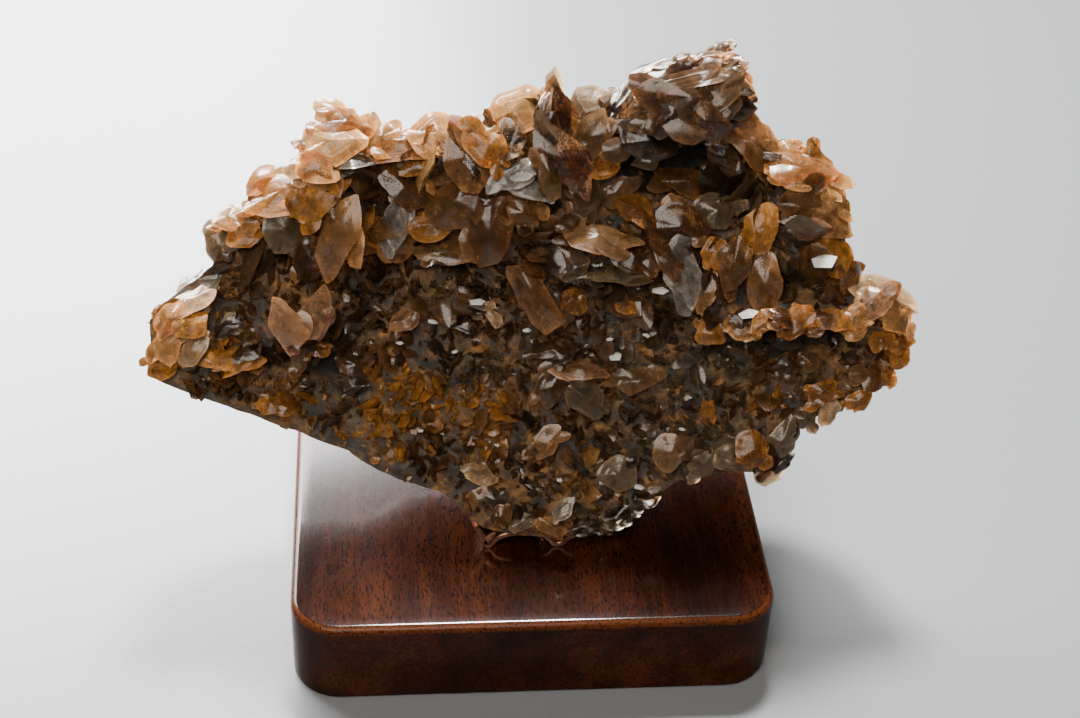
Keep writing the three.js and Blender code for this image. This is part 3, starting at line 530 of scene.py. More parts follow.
def turned(turn, tip, rise):
    """Rotations about the face's n by turn, then up by rise, then about the long axis by tip."""
    t, p, e = np.radians(turn), np.radians(tip), np.radians(rise)
    ct, st, cp, sp, ce, se = np.cos(t), np.sin(t), np.cos(p), np.sin(p), np.cos(e), np.sin(e)
    zero = np.zeros_like(ct)
    one = np.ones_like(ct)
    about_n = np.stack([ct, -st, zero, st, ct, zero, zero, zero, one], -1).reshape(-1, 3, 3)
    up = np.stack([ce, zero, -se, zero, one, zero, se, zero, ce], -1).reshape(-1, 3, 3)
    about_long = np.stack([one, zero, zero, zero, cp, -sp, zero, sp, cp], -1).reshape(-1, 3, 3)
    return about_n @ up @ about_long


def crystal_field(places, poses, sizes, ids, profile, spokes):
    """Points, quads and triangles of many lenses, set at places (u, v, n) with their poses.

    Smooth noise with waves of about 3 mm then moves each point a little.
    """
    local = lens_points(sizes, ids, profile, spokes)
    uvn = np.einsum("nij,npj->npi", poses, local) + places[:, None, :]
    uneven = np.stack([cell_noise(uvn.reshape(-1, 3), 0.3, seed) for seed in (61, 62, 63)], -1)
    uvn += UNEVENNESS * sizes[:, None, 1:2] ** 0.5 * uneven.reshape(uvn.shape)
    quads, fans = poled_faces(2 * len(profile) - 1, spokes)
    start = (np.arange(len(places)) * local.shape[1])[:, None, None]
    points = face_place(uvn.reshape(-1, 3))
    return points, (quads + start).reshape(-1, 4), (fans + start).reshape(-1, 3)


def merged(fields):
    """Several fields of points, quads and triangles as one."""
    counts = np.cumsum([0] + [len(points) for points, _, _ in fields[:-1]])
    return (
        np.concatenate([points for points, _, _ in fields]),
        np.concatenate([quads + c for (_, quads, _), c in zip(fields, counts)]),
        np.concatenate([fans + c for (_, _, fans), c in zip(fields, counts)]),
    )


def carry(piece, name, values):
    """Gives each point of a piece its own value, for its material to read."""
    piece.data.attributes.new(name, "FLOAT", "POINT").data.foreach_set("value", values)


def colour_crystals(piece, tints, rusts, clears, rims):
    """Gives each crystal's points its body colour, its rust and clearness, and their own rim number.

    rims holds one row of numbers for each crystal.
    """
    repeat = np.repeat(np.arange(len(tints)), [len(rim) for rim in rims])
    rgba = np.concatenate([tints[repeat], np.ones((len(repeat), 1))], axis=1)
    piece.data.attributes.new("tint", "FLOAT_COLOR", "POINT").data.foreach_set("color", rgba.ravel())
    carry(piece, "rust", rusts[repeat])
    carry(piece, "clear", clears[repeat])
    carry(piece, "rim", np.concatenate(rims))


# How many blades grow beside each large crystal, and how many points go round each kind of crystal.
BLADES_BESIDE = 5
LARGE_SPOKES = 40
BLADE_SPOKES = 16
RIM_SPOKES = 10
GLINT_SPOKES = 5


def finish_values(words):
    """The body colours, the rust and the clearness of the finishes with these names."""
    return [np.array(values) for values in zip(*(FINISHES[word] for word in words))]


def crystal_piece(name, field, colours, rims, material, sharp=None):
    """A piece of crystals that stands for the specimen, with each crystal's own colours."""
    piece = new_piece(name, *field, "calcite", ["calcite_specimen"], material, sharp)
    colour_crystals(piece, *colours, rims)


def blades_beside(blade, ids, places, poses, sizes):
    """One smaller blade grown beside each large crystal.

    It lies parallel to its crystal within some degrees, and stands off it along the thin axis by up
    to 1.1 of its half-thickness behind, or 0.5 in front for every third blade.
    """
    own = ids + 1000 * (blade + 1)
    half_length, half_width, thick = sizes.T
    deepest = 0.5 if blade % 3 == 2 else -1.1
    along_it = (scatter(own, 51) - 0.5) * 1.7 * half_length
    across_it = (scatter(own, 52) - 0.5) * 1.6 * half_width
    off = deepest * scatter(own, 53) * thick
    shift = np.einsum("nij,nj->ni", poses, np.stack([along_it, across_it, off], -1))
    lean = poses @ turned(
        80 * scatter(own, 54) - 40, 34 * scatter(own, 55) - 17, 24 * scatter(own, 56) - 12)
    share = 0.26 + 0.38 * scatter(own, 57)
    blade_sizes = sizes * share[:, None] * np.array([1.0, 1.0, 0.85])
    return crystal_field(places + shift, lean, blade_sizes, own, BEVELLED, BLADE_SPOKES)


def large_crystals(name, rows, seed, material):
    """The large crystals of one part, each with smaller blades grown beside it."""
    table = np.array([row[:8] for row in rows], float)
    u, v, lift, half_length, half_width, turn, tip, rise = table.T
    ids = seed + np.arange(len(rows))
    places = np.stack([u, v, front_level(u, v) + lift], -1)
    poses = turned(turn, tip, rise)
    sizes = np.stack([half_length, half_width, np.maximum(0.34 * half_width, 0.8)], -1)
    fields = [crystal_field(places, poses, sizes, ids, STEPPED, LARGE_SPOKES)]
    fields += [blades_beside(blade, ids, places, poses, sizes) for blade in range(BLADES_BESIDE)]
    rims = [lens_rim(STEPPED, LARGE_SPOKES)] * len(rows)
    rims += [lens_rim(BEVELLED, BLADE_SPOKES)] * (BLADES_BESIDE * len(rows))
    sets = BLADES_BESIDE + 1
    every = np.tile(ids, sets) + 37 * np.repeat(np.arange(sets), len(rows))
    tints, rusts, clears = finish_values([row[8] for row in rows] * sets)
    tints = np.clip(tints * (0.78 + 0.44 * scatter(every, 61))[:, None], 0, 1)
    rusts = np.clip(rusts * (0.7 + 0.6 * scatter(every, 62)), 0, 1)
    clears = np.clip(clears * (0.85 + 0.3 * scatter(every, 63)), 0, 1)
    crystal_piece(name, merged(fields), (tints, rusts, clears), rims, material, sharp=24)


# The shares of each finish among the smaller crystals, in the upper part, low on the left and
# middle, and low on the right.
SMALL_FINISHES = ["rust", "amber", "brown", "dark", "smoky", "grey", "clear", "peach"]
UPPER_SHARES = np.array([0.10, 0.10, 0.22, 0.13, 0.20, 0.13, 0.05, 0.07])
LOWER_SHARES = np.array([0.22, 0.08, 0.26, 0.18, 0.15, 0.07, 0.03, 0.01])
RIGHT_SHARES = np.array([0.12, 0.09, 0.20, 0.05, 0.19, 0.22, 0.11, 0.02])


def upper_share(u, v, low, high):
    """0 below a line that falls to the right, 1 above a higher one, and smooth between them."""
    return smooth(v + 0.15 * u, low, high)


def small_finish(u, v, ids):
    """Body colour, rust and clearness of small crystals, drawn by the shares at their place.

    Crystals that stand near each other draw alike: two thirds of the draw is noise with waves of
    about 9 mm, and one third is each crystal's own.
    """
    upper = upper_share(u, v, 38, 66)[:, None]
    right = (smooth(u, 5, 35) * (1 - smooth(v, 45, 60)))[:, None]
    lower_shares = right * RIGHT_SHARES + (1 - right) * LOWER_SHARES
    shares = upper * UPPER_SHARES + (1 - upper) * lower_shares
    running = np.cumsum(shares / shares.sum(1, keepdims=True), axis=1)
    flat = np.stack([u, v, 0 * u], -1)
    near = 0.5 + 0.85 * cell_noise(flat, 0.11, 71)
    draw = np.clip(0.67 * near + 0.33 * scatter(ids, 71), 0, 1)
    pick = (draw[:, None] > running).sum(1).clip(0, len(SMALL_FINISHES) - 1)
    tints, rusts, clears = (values[pick] for values in finish_values(SMALL_FINISHES))
    shade = (0.72 + 0.35 * cell_noise(flat, 0.2, 72) + 0.25 * scatter(ids, 72))[:, None]
    return np.clip(tints * shade, 0, 1), rusts, clears


def uncovered(u, v, share):
    """Where no large crystal stands over the rock, taking this share of each one's outline."""
    large = np.array([row[:8] for rows in LARGE_CRYSTALS.values() for row in rows])
    cu, cv, _, half_length, half_width, turn, tip, _ = large.T
    c, s = np.cos(np.radians(turn)), np.sin(np.radians(turn))
    du, dv = u[:, None] - cu, v[:, None] - cv
    along_it = (du * c + dv * s) / half_length
    across_it = (dv * c - du * s) / (half_width * np.maximum(np.cos(np.radians(tip)), 0.45))
    return (along_it ** 2 + across_it ** 2 > share ** 2).all(1)


def spread_places(pitch, seed, reach, share):
    """Places (u, v) on a loose grid over the slab, between the large crystals and off the hollows.

    They go out to the share reach of the slab's radius, and less far where its rim is bare.
    """
    columns, rows = int(150 / pitch), int(96 / pitch)
    i = seed + np.arange(columns * rows)
    u = (np.arange(columns * rows) % columns + scatter(i, 81)) * pitch - 75
    v = (np.arange(columns * rows) // columns + scatter(i, 82)) * pitch - 1
    inside = rim_share(u, v) < reach - 0.035 * bare_rim(u, v)
    inside &= uncovered(u, v, share) & (hollow(u, v) < 0.5)
    return u[inside], v[inside], i[inside]


def along(directions, roll):
    """Rotations whose long axis is each direction, with the thin axis turned about it by roll."""
    d = directions / np.linalg.norm(directions, axis=1, keepdims=True)
    helper = np.where(np.abs(d[:, 2:]) < 0.9, np.array([0.0, 0, 1]), np.array([1.0, 0, 0]))
    a = np.cross(helper, d)
    a /= np.linalg.norm(a, axis=1, keepdims=True)
    b = np.cross(d, a)
    thin = np.cos(roll)[:, None] * b + np.sin(roll)[:, None] * a
    return np.stack([d, np.cross(thin, d), thin], -1)


def bundles(name, seed, pitch, blades, half_length, depth, share, profile, spokes, material,
            sharp=None, reach=0.96):
    """Smaller crystals in bundles: blades stand side by side and fan out of one root below the rock.

    A bundle points 25 to 95 degrees off the face's n. Its blades stand 0.5 of a half-width apart
    along their thin axis, each turned by up to 20 degrees, and their middles are 0.5 of a
    half-length out from the root. The half-length is half_length(u, v), times 0.65 to 1.35.
    """
    u, v, ids = spread_places(pitch, seed, reach, share)
    off = np.radians(25 + 70 * scatter(ids, 83))
    round_ = TURN * scatter(ids, 84)
    heading = np.stack([np.sin(off) * np.cos(round_), np.sin(off) * np.sin(round_), np.cos(off)], -1)
    frames = np.repeat(along(heading, TURN * scatter(ids, 89)), blades, axis=0)
    root = np.repeat(np.stack([u, v, front_level(u, v) - depth], -1), blades, axis=0)
    u, v = root[:, 0], root[:, 1]
    rank = np.tile(np.arange(blades) - (blades - 1) / 2, len(ids))
    own = np.repeat(ids, blades) * 17 + np.tile(np.arange(blades), len(ids))
    length = half_length(u, v) * (0.65 + 0.7 * scatter(own, 85))
    width = length * (0.5 + 0.3 * scatter(own, 86))
    sizes = np.stack([length, width, 0.46 * width], -1)
    shift = np.stack([0.5 * length, (scatter(own, 87) - 0.5) * 1.6 * width, 0.5 * rank * width], -1)
    places = root + np.einsum("nij,nj->ni", frames, shift)
    fan = 14 * rank + 20 * (scatter(own, 91) - 0.5)
    poses = frames @ turned(50 * (scatter(own, 88) - 0.5), 40 * (scatter(own, 90) - 0.5), fan)
    field = crystal_field(places, poses, sizes, own, profile, spokes)
    rims = [0.85 * lens_rim(profile, spokes)] * len(own)
    crystal_piece(name, field, small_finish(u, v, own), rims, material, sharp)


def rim_crystals(name, count, seed, material):
    """Crystals along the rim of the slab, pointing outwards, some further back on its side."""
    k = np.arange(count)
    ids = seed + k
    angle = (k + 0.8 * scatter(ids, 91)) / count * TURN - np.pi
    radius = slab_radius(angle) * (0.955 + 0.025 * scatter(ids, 92))
    u, v = SLAB_MIDDLE[:, None] + radius * np.stack([np.cos(angle), np.sin(angle)])
    length = (1.9 + 0.9 * smooth(v, 30, 60)) * (1 - 0.55 * bare_rim(u, v))
    length = length * (0.6 + 0.9 * scatter(ids, 93))
    width = length * (0.55 + 0.3 * scatter(ids, 94))
    level = front_level(u, v) + 1 - 5.5 * scatter(ids, 95)
    turn = np.degrees(angle) - 35 + 70 * scatter(ids, 96)
    poses = turned(turn, -80 + 160 * scatter(ids, 97), -15 + 40 * scatter(ids, 98))
    places = np.stack([u, v, level], -1)
    sizes = np.stack([length, width, 0.26 * width], -1)
    field = crystal_field(places, poses, sizes, ids, BEVELLED, RIM_SPOKES)
    rims = [lens_rim(BEVELLED, RIM_SPOKES)] * count
    crystal_piece(name, field, small_finish(u, v, ids), rims, material)


def glint_crystals(name, seed, material):
    """Small clear crystals whose flat faces look up at the light."""
    u, v, lift, length = np.array(GLINTS).T
    ids = seed + np.arange(len(u))
    places = np.stack([u, v, front_level(u, v) + lift], -1)
    poses = turned(40 * scatter(ids, 99) - 20, -60 - 6 * scatter(ids, 100), 0 * u)
    sizes = np.stack([length, 0.8 * length, 0.25 * length], -1)
    field = crystal_field(places, poses, sizes, ids, BEVELLED, GLINT_SPOKES)
    new_piece(name, *field, "calcite", ["calcite_specimen"], material)


def rock(name, material):
    """The dark rock: the slab's front and back over rings of its outline, with rough noise.

    Rings run from the middle of the front out to the rim, down the side, and back in behind. The
    back is broken into chips, the side bulges by a sine, and layers of noise roughen it all.
    """
    spokes = 260
    front, side, back = 60, 12, 60
    innermost, last_of_side = 0.012, 0.93
    angle = np.arange(spokes) / spokes * TURN - np.pi
    inward = np.linspace(1, last_of_side, side + 2)[1:-1]
    share = np.concatenate([
        np.linspace(innermost, 1, front), inward, np.linspace(last_of_side, innermost, back),
    ])
    part = np.concatenate([np.zeros(front), np.linspace(0, 1, side + 2)[1:-1], np.ones(back)])[:, None]
    radius = share[:, None] * slab_radius(angle)
    u = SLAB_MIDDLE[0] + radius * np.cos(angle)
    v = SLAB_MIDDLE[1] + radius * np.sin(angle)
    large_chips = broken_face(u, v, seed=40, count=260, steep=1.1)
    small_chips = broken_face(u, v, seed=900, count=900, steep=1.6)
    chips = 0.9 * (large_chips.mean() - large_chips) + 0.25 * (1.5 - small_chips)
    level = (1 - part) * front_level(u, v) + part * (back_level(u, v) + chips)
    points = np.stack([u, v, level], -1).reshape(-1, 3)
    deep = 0.8 * rough_noise(points, 0.28, 3) + 0.6 * rough_noise(points, 0.7, 9)
    away = np.tile(np.stack([np.cos(angle), np.sin(angle)], -1), (len(share), 1))
    sideways = np.repeat(np.sin(np.pi * part[:, 0]), spokes)
    points[:, 2] += deep * (1 - sideways)
    points[:, :2] += away * (sideways * (1.6 * deep - 0.4))[:, None]
    front_pole = [[*SLAB_MIDDLE, points[:spokes, 2].mean()]]
    back_pole = [[*SLAB_MIDDLE, points[-spokes:, 2].mean()]]
    points = face_place(np.concatenate([front_pole, points, back_pole]))
    skin = poled_faces(len(share), spokes)
    piece = new_piece(name, points, *skin, "calcite", ["calcite_specimen"], material, sharp=22)
    # The crust covers the front and is left off in the hollows, which leaves them dark: painted shade there.
    crust_with_painted_hollow_shade = (np.clip(1 - 6 * part, 0, 1) * (1 - hollow(u, v))).ravel()
    carry(piece, "crust_and_painted_hollow_shade", np.concatenate([[1], crust_with_painted_hollow_shade, [0]]))


# The wooden block and the metal stand. The block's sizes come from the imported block.
BLOCK_LOW, BLOCK_HIGH = (np.array(corner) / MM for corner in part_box("wood_base"))
BLOCK_CORNER = 9
BLOCK_EDGE = 1.5
LOWER_EDGE = BLOCK_EDGE / 2
STRIP = 1.2
CRADLE_DEPTH = 9
CRADLE_MIDDLE = -20.1
CLAW_MIDDLE = -24.9
CLAW_THICKNESS = 1.0
REST_THICKNESS = 1.6
REST_WIDTH = 12
# The points round a band of metal, and how wide the ring is that closes its ends.
BAND_SPOKES = 16
END_SHARE = 0.55

# The cradle seen from the front: the middle of the strip from its left claw to its right arm.
CRADLE_LINE = [
    (-12.4, 28.8), (-9.4, 20.9), (-8.3, 18.6), (-7.4, 18.8), (-6.4, 20.2), (-4.7, 21.1), (-2.3, 21.5),
    (-0.1, 21.5), (2.2, 21), (3.7, 19.8), (4.6, 18.6), (6, 18.6), (7.4, 20), (10, 21.3), (15, 21.6),
]
# The two prongs of the claw, from the foot up, with the half-width at each place.
LEFT_PRONG = [(-8.5, 19.7, 0.7), (-9.1, 20.9, 0.75), (-9.7, 22.6, 0.6), (-10.4, 24.3, 0.3)]
RIGHT_PRONG = [(-8.6, 19.8, 0.7), (-8.1, 20.7, 0.75), (-7.4, 21.7, 0.65), (-6.7, 22.6, 0.3)]
# The back rest seen from the right: from the end of its foot round the bend and up the lean.
REST_LINE = [
    (17.2, 18.8), (10, 18.8), (3.9, 18.8), (2.5, 18.95), (1.95, 19.7), (2.3, 20.9), (5.0, 26.7),
    (11.5, 40.9), (18.05, 55.0),
]


def rounded_square(inset, corner_steps=12, side_steps=12):
    """The block's outline, moved in by inset: quarter circles joined by straight sides."""
    half = (BLOCK_HIGH - BLOCK_LOW)[:2] / 2
    middle = (BLOCK_HIGH + BLOCK_LOW)[:2] / 2
    arcs = []
    for quarter in range(4):
        a = np.linspace(0, TURN / 4, corner_steps) + quarter * TURN / 4
        way = np.stack([np.cos(a), np.sin(a)], -1)
        corner = middle + np.sign(way[corner_steps // 2]) * (half - BLOCK_CORNER)
        arcs.append(corner + (BLOCK_CORNER - inset) * way)
    outline = []
    for quarter in range(4):
        start, end = arcs[quarter][-1], arcs[(quarter + 1) % 4][0]
        share = np.linspace(0, 1, side_steps + 2)[1:-1, None]
        outline += [arcs[quarter], start + (end - start) * share]
    return np.concatenate(outline)


def block(name, material):
    """The block: its outline shrunk to the middle on top, round the edge, down, and in below.

    Each ring has its inset, the share of its size and its height. The upper edge is a quarter
    circle of BLOCK_EDGE, given wear and a painted highlight but for its top, and the lower one a
    quarter circle of LOWER_EDGE.
    """
    low, high = BLOCK_LOW[2], BLOCK_HIGH[2]
    middle = (BLOCK_HIGH + BLOCK_LOW)[:2] / 2
    bend = np.linspace(0, TURN / 4, 8)
    rings = [(BLOCK_EDGE, share, high) for share in np.linspace(0.04, 1, 24)[:-1]]
    rings += [(BLOCK_EDGE * (1 - np.sin(b)), 1, high - BLOCK_EDGE * (1 - np.cos(b))) for b in bend]
    rings += [(0, 1, z) for z in np.linspace(high - BLOCK_EDGE, low + LOWER_EDGE, 12)[1:-1]]
    rings += [(LOWER_EDGE * (1 - np.cos(b)), 1, low + LOWER_EDGE * (1 - np.sin(b))) for b in bend]
    rings += [(LOWER_EDGE, share, low) for share in np.linspace(1, 0.1, 6)[1:]]
    circles = []
    for inset, share, z in rings:
        flat = middle + share * (rounded_square(inset) - middle)
        circles.append(np.concatenate([flat, np.full((len(flat), 1), z)], axis=1))
    spokes = len(circles[0])
    points = np.concatenate([[[*middle, high]], *circles, [[*middle, low]]])
    skin = poled_faces(len(circles), spokes)
    piece = new_piece(name, points, *skin, "wood", ["wood_base"], material, sharp=40)
    # The rounded upper edge, but for its top: wear and a painted highlight.
    worn_and_highlit_edge = [float(share == 1 and high - BLOCK_EDGE < z < high - 0.1) for _, share, z in rings]
    carry(piece, "worn_and_highlit_edge", np.concatenate([[0], np.repeat(worn_and_highlit_edge, spokes), [0]]))


def curve_through(line, steps):
    """A smooth line through the places: each stretch is a Catmull-Rom cubic of its four nearest."""
    p = np.array(line, float)
    ends = np.concatenate([[2 * p[0] - p[1]], p, [2 * p[-1] - p[-2]]])
    t = (np.arange(steps) / steps)[:, None]
    parts = []
    for a, b, c, d in zip(ends[:-3], ends[1:-2], ends[2:-1], ends[3:]):
        cubic = 2 * b + (c - a) * t + (2 * a - 5 * b + 4 * c - d) * t ** 2 + (3 * b - a - 3 * c + d) * t ** 3
        parts.append(cubic / 2)
    return np.concatenate([*parts, p[-1:]])


def band(line, half_thickness, half_depth, edge):
    """A band of metal along a flat line: a rounded rectangle carried along it, closed at both ends.

    half_thickness is across the line, in its plane; a third number of a place in the line is its
    own half-thickness. half_depth is along the plane's normal. Returns places (across the plane,
    along its normal, up) and the numbers of its quads and triangles.
    """
    path = curve_through(line, steps=6)
    flat = path[:, :2]
    thick = path[:, 2] if path.shape[1] > 2 else np.full(len(path), half_thickness)
    heading = np.gradient(flat, axis=0)
    heading /= np.linalg.norm(heading, axis=1, keepdims=True)
    across = np.stack([-heading[:, 1], heading[:, 0]], -1)[:, None]
    turn = (np.arange(BAND_SPOKES) + 0.5) / BAND_SPOKES * TURN
    rim = np.minimum(edge, 0.98 * thick)[:, None]
    off = np.sign(np.sin(turn)) * (thick[:, None] - rim) + rim * np.sin(turn)
    depth = np.sign(np.cos(turn)) * (half_depth - rim) + rim * np.cos(turn)
    spots = flat[:, None] + off[..., None] * across
    circles = np.stack([spots[..., 0], depth, spots[..., 1]], -1)
    middle = circles.mean(1, keepdims=True)
    first = middle[:1] + END_SHARE * (circles[:1] - middle[:1])
    last = middle[-1:] + END_SHARE * (circles[-1:] - middle[-1:])
    circles = np.concatenate([first, circles, last])
    points = np.concatenate([middle[0], circles.reshape(-1, 3), middle[-1]])
    return (points, *poled_faces(len(circles), len(turn)))


def faced_out(field):
    """The same skin with its faces turned round if they enclose less than nothing."""
    points, quads, triangles = field
    halves = np.concatenate([quads[:, :3], quads[:, [0, 2, 3]], triangles])
    a, b, c = points[halves].transpose(1, 0, 2)
    if np.einsum("ni,ni->", a, np.cross(b, c)) < 0:
        return points, quads[:, ::-1], triangles[:, ::-1]
    return field


def metal_stand(material):
    """The cradle with its claw in front of it, and the back rest behind."""
    strip, quads, fans = band(CRADLE_LINE, STRIP / 2, CRADLE_DEPTH / 2, 0.35)
    cradle = faced_out((strip + [0, CRADLE_MIDDLE, 0], quads, fans))
    prongs = []
    for prong in (LEFT_PRONG, RIGHT_PRONG):
        points, quads, fans = band(prong, None, CLAW_THICKNESS / 2, 0.3)
        prongs.append(faced_out((points + [0, CLAW_MIDDLE, 0], quads, fans)))
    stand = merged([cradle, *prongs])
    new_piece("cradle", *stand, "metal", ["front_cradle"], material, sharp=40)

    points, quads, fans = band(REST_LINE, REST_THICKNESS / 2, REST_WIDTH / 2, 0.4)
    rest = faced_out((points[:, [1, 0, 2]], quads, fans))
    new_piece("rest", *rest, "metal", ["back_rest"], material, sharp=40)


# The stops of the colour ramps: the place and the colour of each, from the darkest to the lightest.
RUST_TONES = [
    (0.30, (0.030, 0.010, 0.002)), (0.44, (0.13, 0.044, 0.006)), (0.57, (0.34, 0.135, 0.016)),
    (0.72, (0.52, 0.275, 0.065)),
]
ROCK_TONES = [
    (0.3, (0.009, 0.008, 0.007)), (0.5, (0.023, 0.021, 0.017)), (0.66, (0.055, 0.048, 0.038)),
    (0.8, (0.12, 0.10, 0.08)),
]
CRUST_TONES = [
    (0.30, (0.040, 0.017, 0.006)), (0.46, (0.10, 0.044, 0.011)), (0.60, (0.25, 0.115, 0.024)),
    (0.75, (0.50, 0.265, 0.065)),
]
WOOD_TONES = [
    (0.36, (0.0080, 0.0018, 0.0006)), (0.5, (0.021, 0.0046, 0.0015)),
    (0.64, (0.046, 0.0118, 0.0036)),
]
METAL_TONES = [(0.32, (0.11, 0.05, 0.029)), (0.52, (0.34, 0.16, 0.088)), (0.70, (0.66, 0.36, 0.22))]
# The lighter colour of the upper edge: partly wear, partly a painted highlight.
WORN_AND_HIGHLIT_EDGE = (0.19, 0.056, 0.018)
WOOD_PORE = (0.004, 0.0016, 0.001)
WOOD_DUST = (0.42, 0.33, 0.28)


def new_material(name):
    """An empty node material and its tree."""
    material = bpy.data.materials.new(name)
    material.use_nodes = True
    material.node_tree.nodes.clear()
    return material, material.node_tree


def node(tree, kind, inputs, **settings):
    """A node of this kind: an input that is a socket is linked, and any other is set as a value."""
    made = tree.nodes.new("ShaderNode" + kind)
    for key, value in settings.items():
        setattr(made, key, value)
    for key, source in inputs.items():
        if isinstance(source, bpy.types.NodeSocket):
            tree.links.new(source, made.inputs[key])
        else:
            made.inputs[key].default_value = source
    return made


def ramp(tree, source, stops):
    """A colour ramp of (place, colour) stops; a plain number as colour gives that grey."""
    made = node(tree, "ValToRGB", {0: source})
    elements = made.color_ramp.elements
    while len(elements) < len(stops):
        elements.new(0.5)
    for element, (place, colour) in zip(elements, stops):
        element.position = place
        rgb = (colour,) * 3 if isinstance(colour, (int, float)) else colour
        element.color = (*rgb, 1)
    return made.outputs[0]


def noise(tree, place, scale, detail, roughness, distortion=0.0):
    """Noise at a scale given in waves a metre."""
    made = node(tree, "TexNoise", {
        "Vector": place, "Scale": scale, "Detail": detail, "Roughness": roughness,
        "Distortion": distortion})
    return made.outputs["Fac"]


def mix_colour(tree, share, a, b, blend="MIX"):
    """Two colours mixed by a share."""
    a, b = (value if isinstance(value, bpy.types.NodeSocket) else (*value, 1) for value in (a, b))
    return node(tree, "Mix", {0: share, 6: a, 7: b}, data_type="RGBA", blend_type=blend).outputs[2]


def sums(tree, operation, a, b, clamp=False):
    """One sum on numbers or sockets."""
    return node(tree, "Math", {0: a, 1: b}, operation=operation, use_clamp=clamp).outputs[0]


def times(tree, a, b):
    """One number times another."""
    return sums(tree, "MULTIPLY", a, b)


def plus(tree, a, b):
    """One number plus another."""
    return sums(tree, "ADD", a, b)


def between(tree, share, low, high):
    """A number that goes from low to high as the share goes from 0 to 1."""
    return node(tree, "MapRange", {"Value": share, "To Min": low, "To Max": high}).outputs[0]


def bump(tree, height, distance, strength):
    """A bump of this distance in metres."""
    made = node(tree, "Bump", {"Height": height, "Distance": distance, "Strength": strength})
    return made.outputs["Normal"]


def attribute(tree, name, output="Fac"):
    """A value that the points of a piece carry."""
    return node(tree, "Attribute", {}, attribute_name=name).outputs[output]


def object_place(tree, stretch=None):
    """Object coordinates, in metres, stretched by three shares if given."""
    place = node(tree, "TexCoord", {}).outputs["Object"]
    if stretch is None:
        return place
    return node(tree, "Mapping", {"Vector": place, "Scale": stretch}).outputs["Vector"]


def finish_material(tree, shader, **more):
    """Links the shader, and anything more by its socket's name, to the material's output."""
    node(tree, "OutputMaterial", {"Surface": shader.outputs[0], **more})


def calcite_material():
    """Brownish see-through calcite with paler veils; painted shade in each crystal's middle, glow at its
    rim.

    The rust covers where large clouds, fine streaks and specks together pass a level that the
    crystal's own rust number sets. Rust is rougher than the bare calcite and less clear.
    """
    material, tree = new_material("calcite")
    place = object_place(tree)
    clouds = noise(tree, place, 170, 3, 0.6, 0.6)
    streaks = noise(tree, object_place(tree, (1.0, 0.6, 0.35)), 900, 3, 0.7, 0.8)
    specks = noise(tree, place, 2600, 2, 0.6)
    dusting = plus(tree, times(tree, clouds, 0.9), times(tree, streaks, 0.65))
    dusting = plus(tree, dusting, times(tree, specks, 0.45))
    level = between(tree, attribute(tree, "rust"), -1.15, -0.58)
    rusty = sums(tree, "MULTIPLY", plus(tree, dusting, level), 2.4, clamp=True)
    rusty = sums(tree, "POWER", rusty, 1.8)
    stain = ramp(tree, noise(tree, place, 640, 5, 0.72, 0.5), RUST_TONES)
    veil = ramp(tree, noise(tree, place, 330, 6, 0.72, 1.4), [(0.30, 0.34), (0.50, 0.82), (0.68, 1.30)])
    body = mix_colour(tree, 1.0, attribute(tree, "tint", "Color"), veil, "MULTIPLY")
    # Painted shade and glow: darker in the middle of each crystal, lighter than its body at the thin rim.
    depth = ramp(tree, attribute(tree, "rim"), [(0.0, 0.62), (0.5, 0.78), (0.86, 1.0), (1.0, 1.35)])
    body = mix_colour(tree, 1.0, body, depth, "MULTIPLY")
    colour = mix_colour(tree, times(tree, rusty, 0.93), body, stain)
    bare = sums(tree, "SUBTRACT", 1.0, times(tree, rusty, 0.8))
    clearness = times(tree, attribute(tree, "clear"), bare)
    lines = noise(tree, object_place(tree, (0.5, 0.5, 4.0)), 420, 2, 0.5)
    gritty = sums(tree, "POWER", attribute(tree, "rust"), 2.0)
    grit = times(tree, noise(tree, place, 2300, 3, 0.7), gritty)
    height = plus(tree, times(tree, lines, 0.04), times(tree, grit, 0.5))
    shader = node(tree, "BsdfPrincipled", {
        "Base Color": colour, "Transmission Weight": clearness,
        "Roughness": between(tree, rusty, 0.22, 0.58), "IOR": 1.52, "Specular IOR Level": 0.10,
        "Specular Tint": (0.58, 0.55, 0.52, 1), "Normal": bump(tree, height, 0.00026, 0.65)})
    murk = node(tree, "VolumeAbsorption", {"Color": (0.80, 0.62, 0.45, 1), "Density": 450.0})
    finish_material(tree, shader, Volume=murk.outputs[0])
    return material


def glassy_material():
    """Clear, smooth calcite that throws the light back."""
    material, tree = new_material("glassy calcite")
    shader = node(tree, "BsdfPrincipled", {
        "Base Color": (0.90, 0.86, 0.80, 1), "Transmission Weight": 0.55, "Roughness": 0.16, "IOR": 1.65})
    finish_material(tree, shader)
    return material


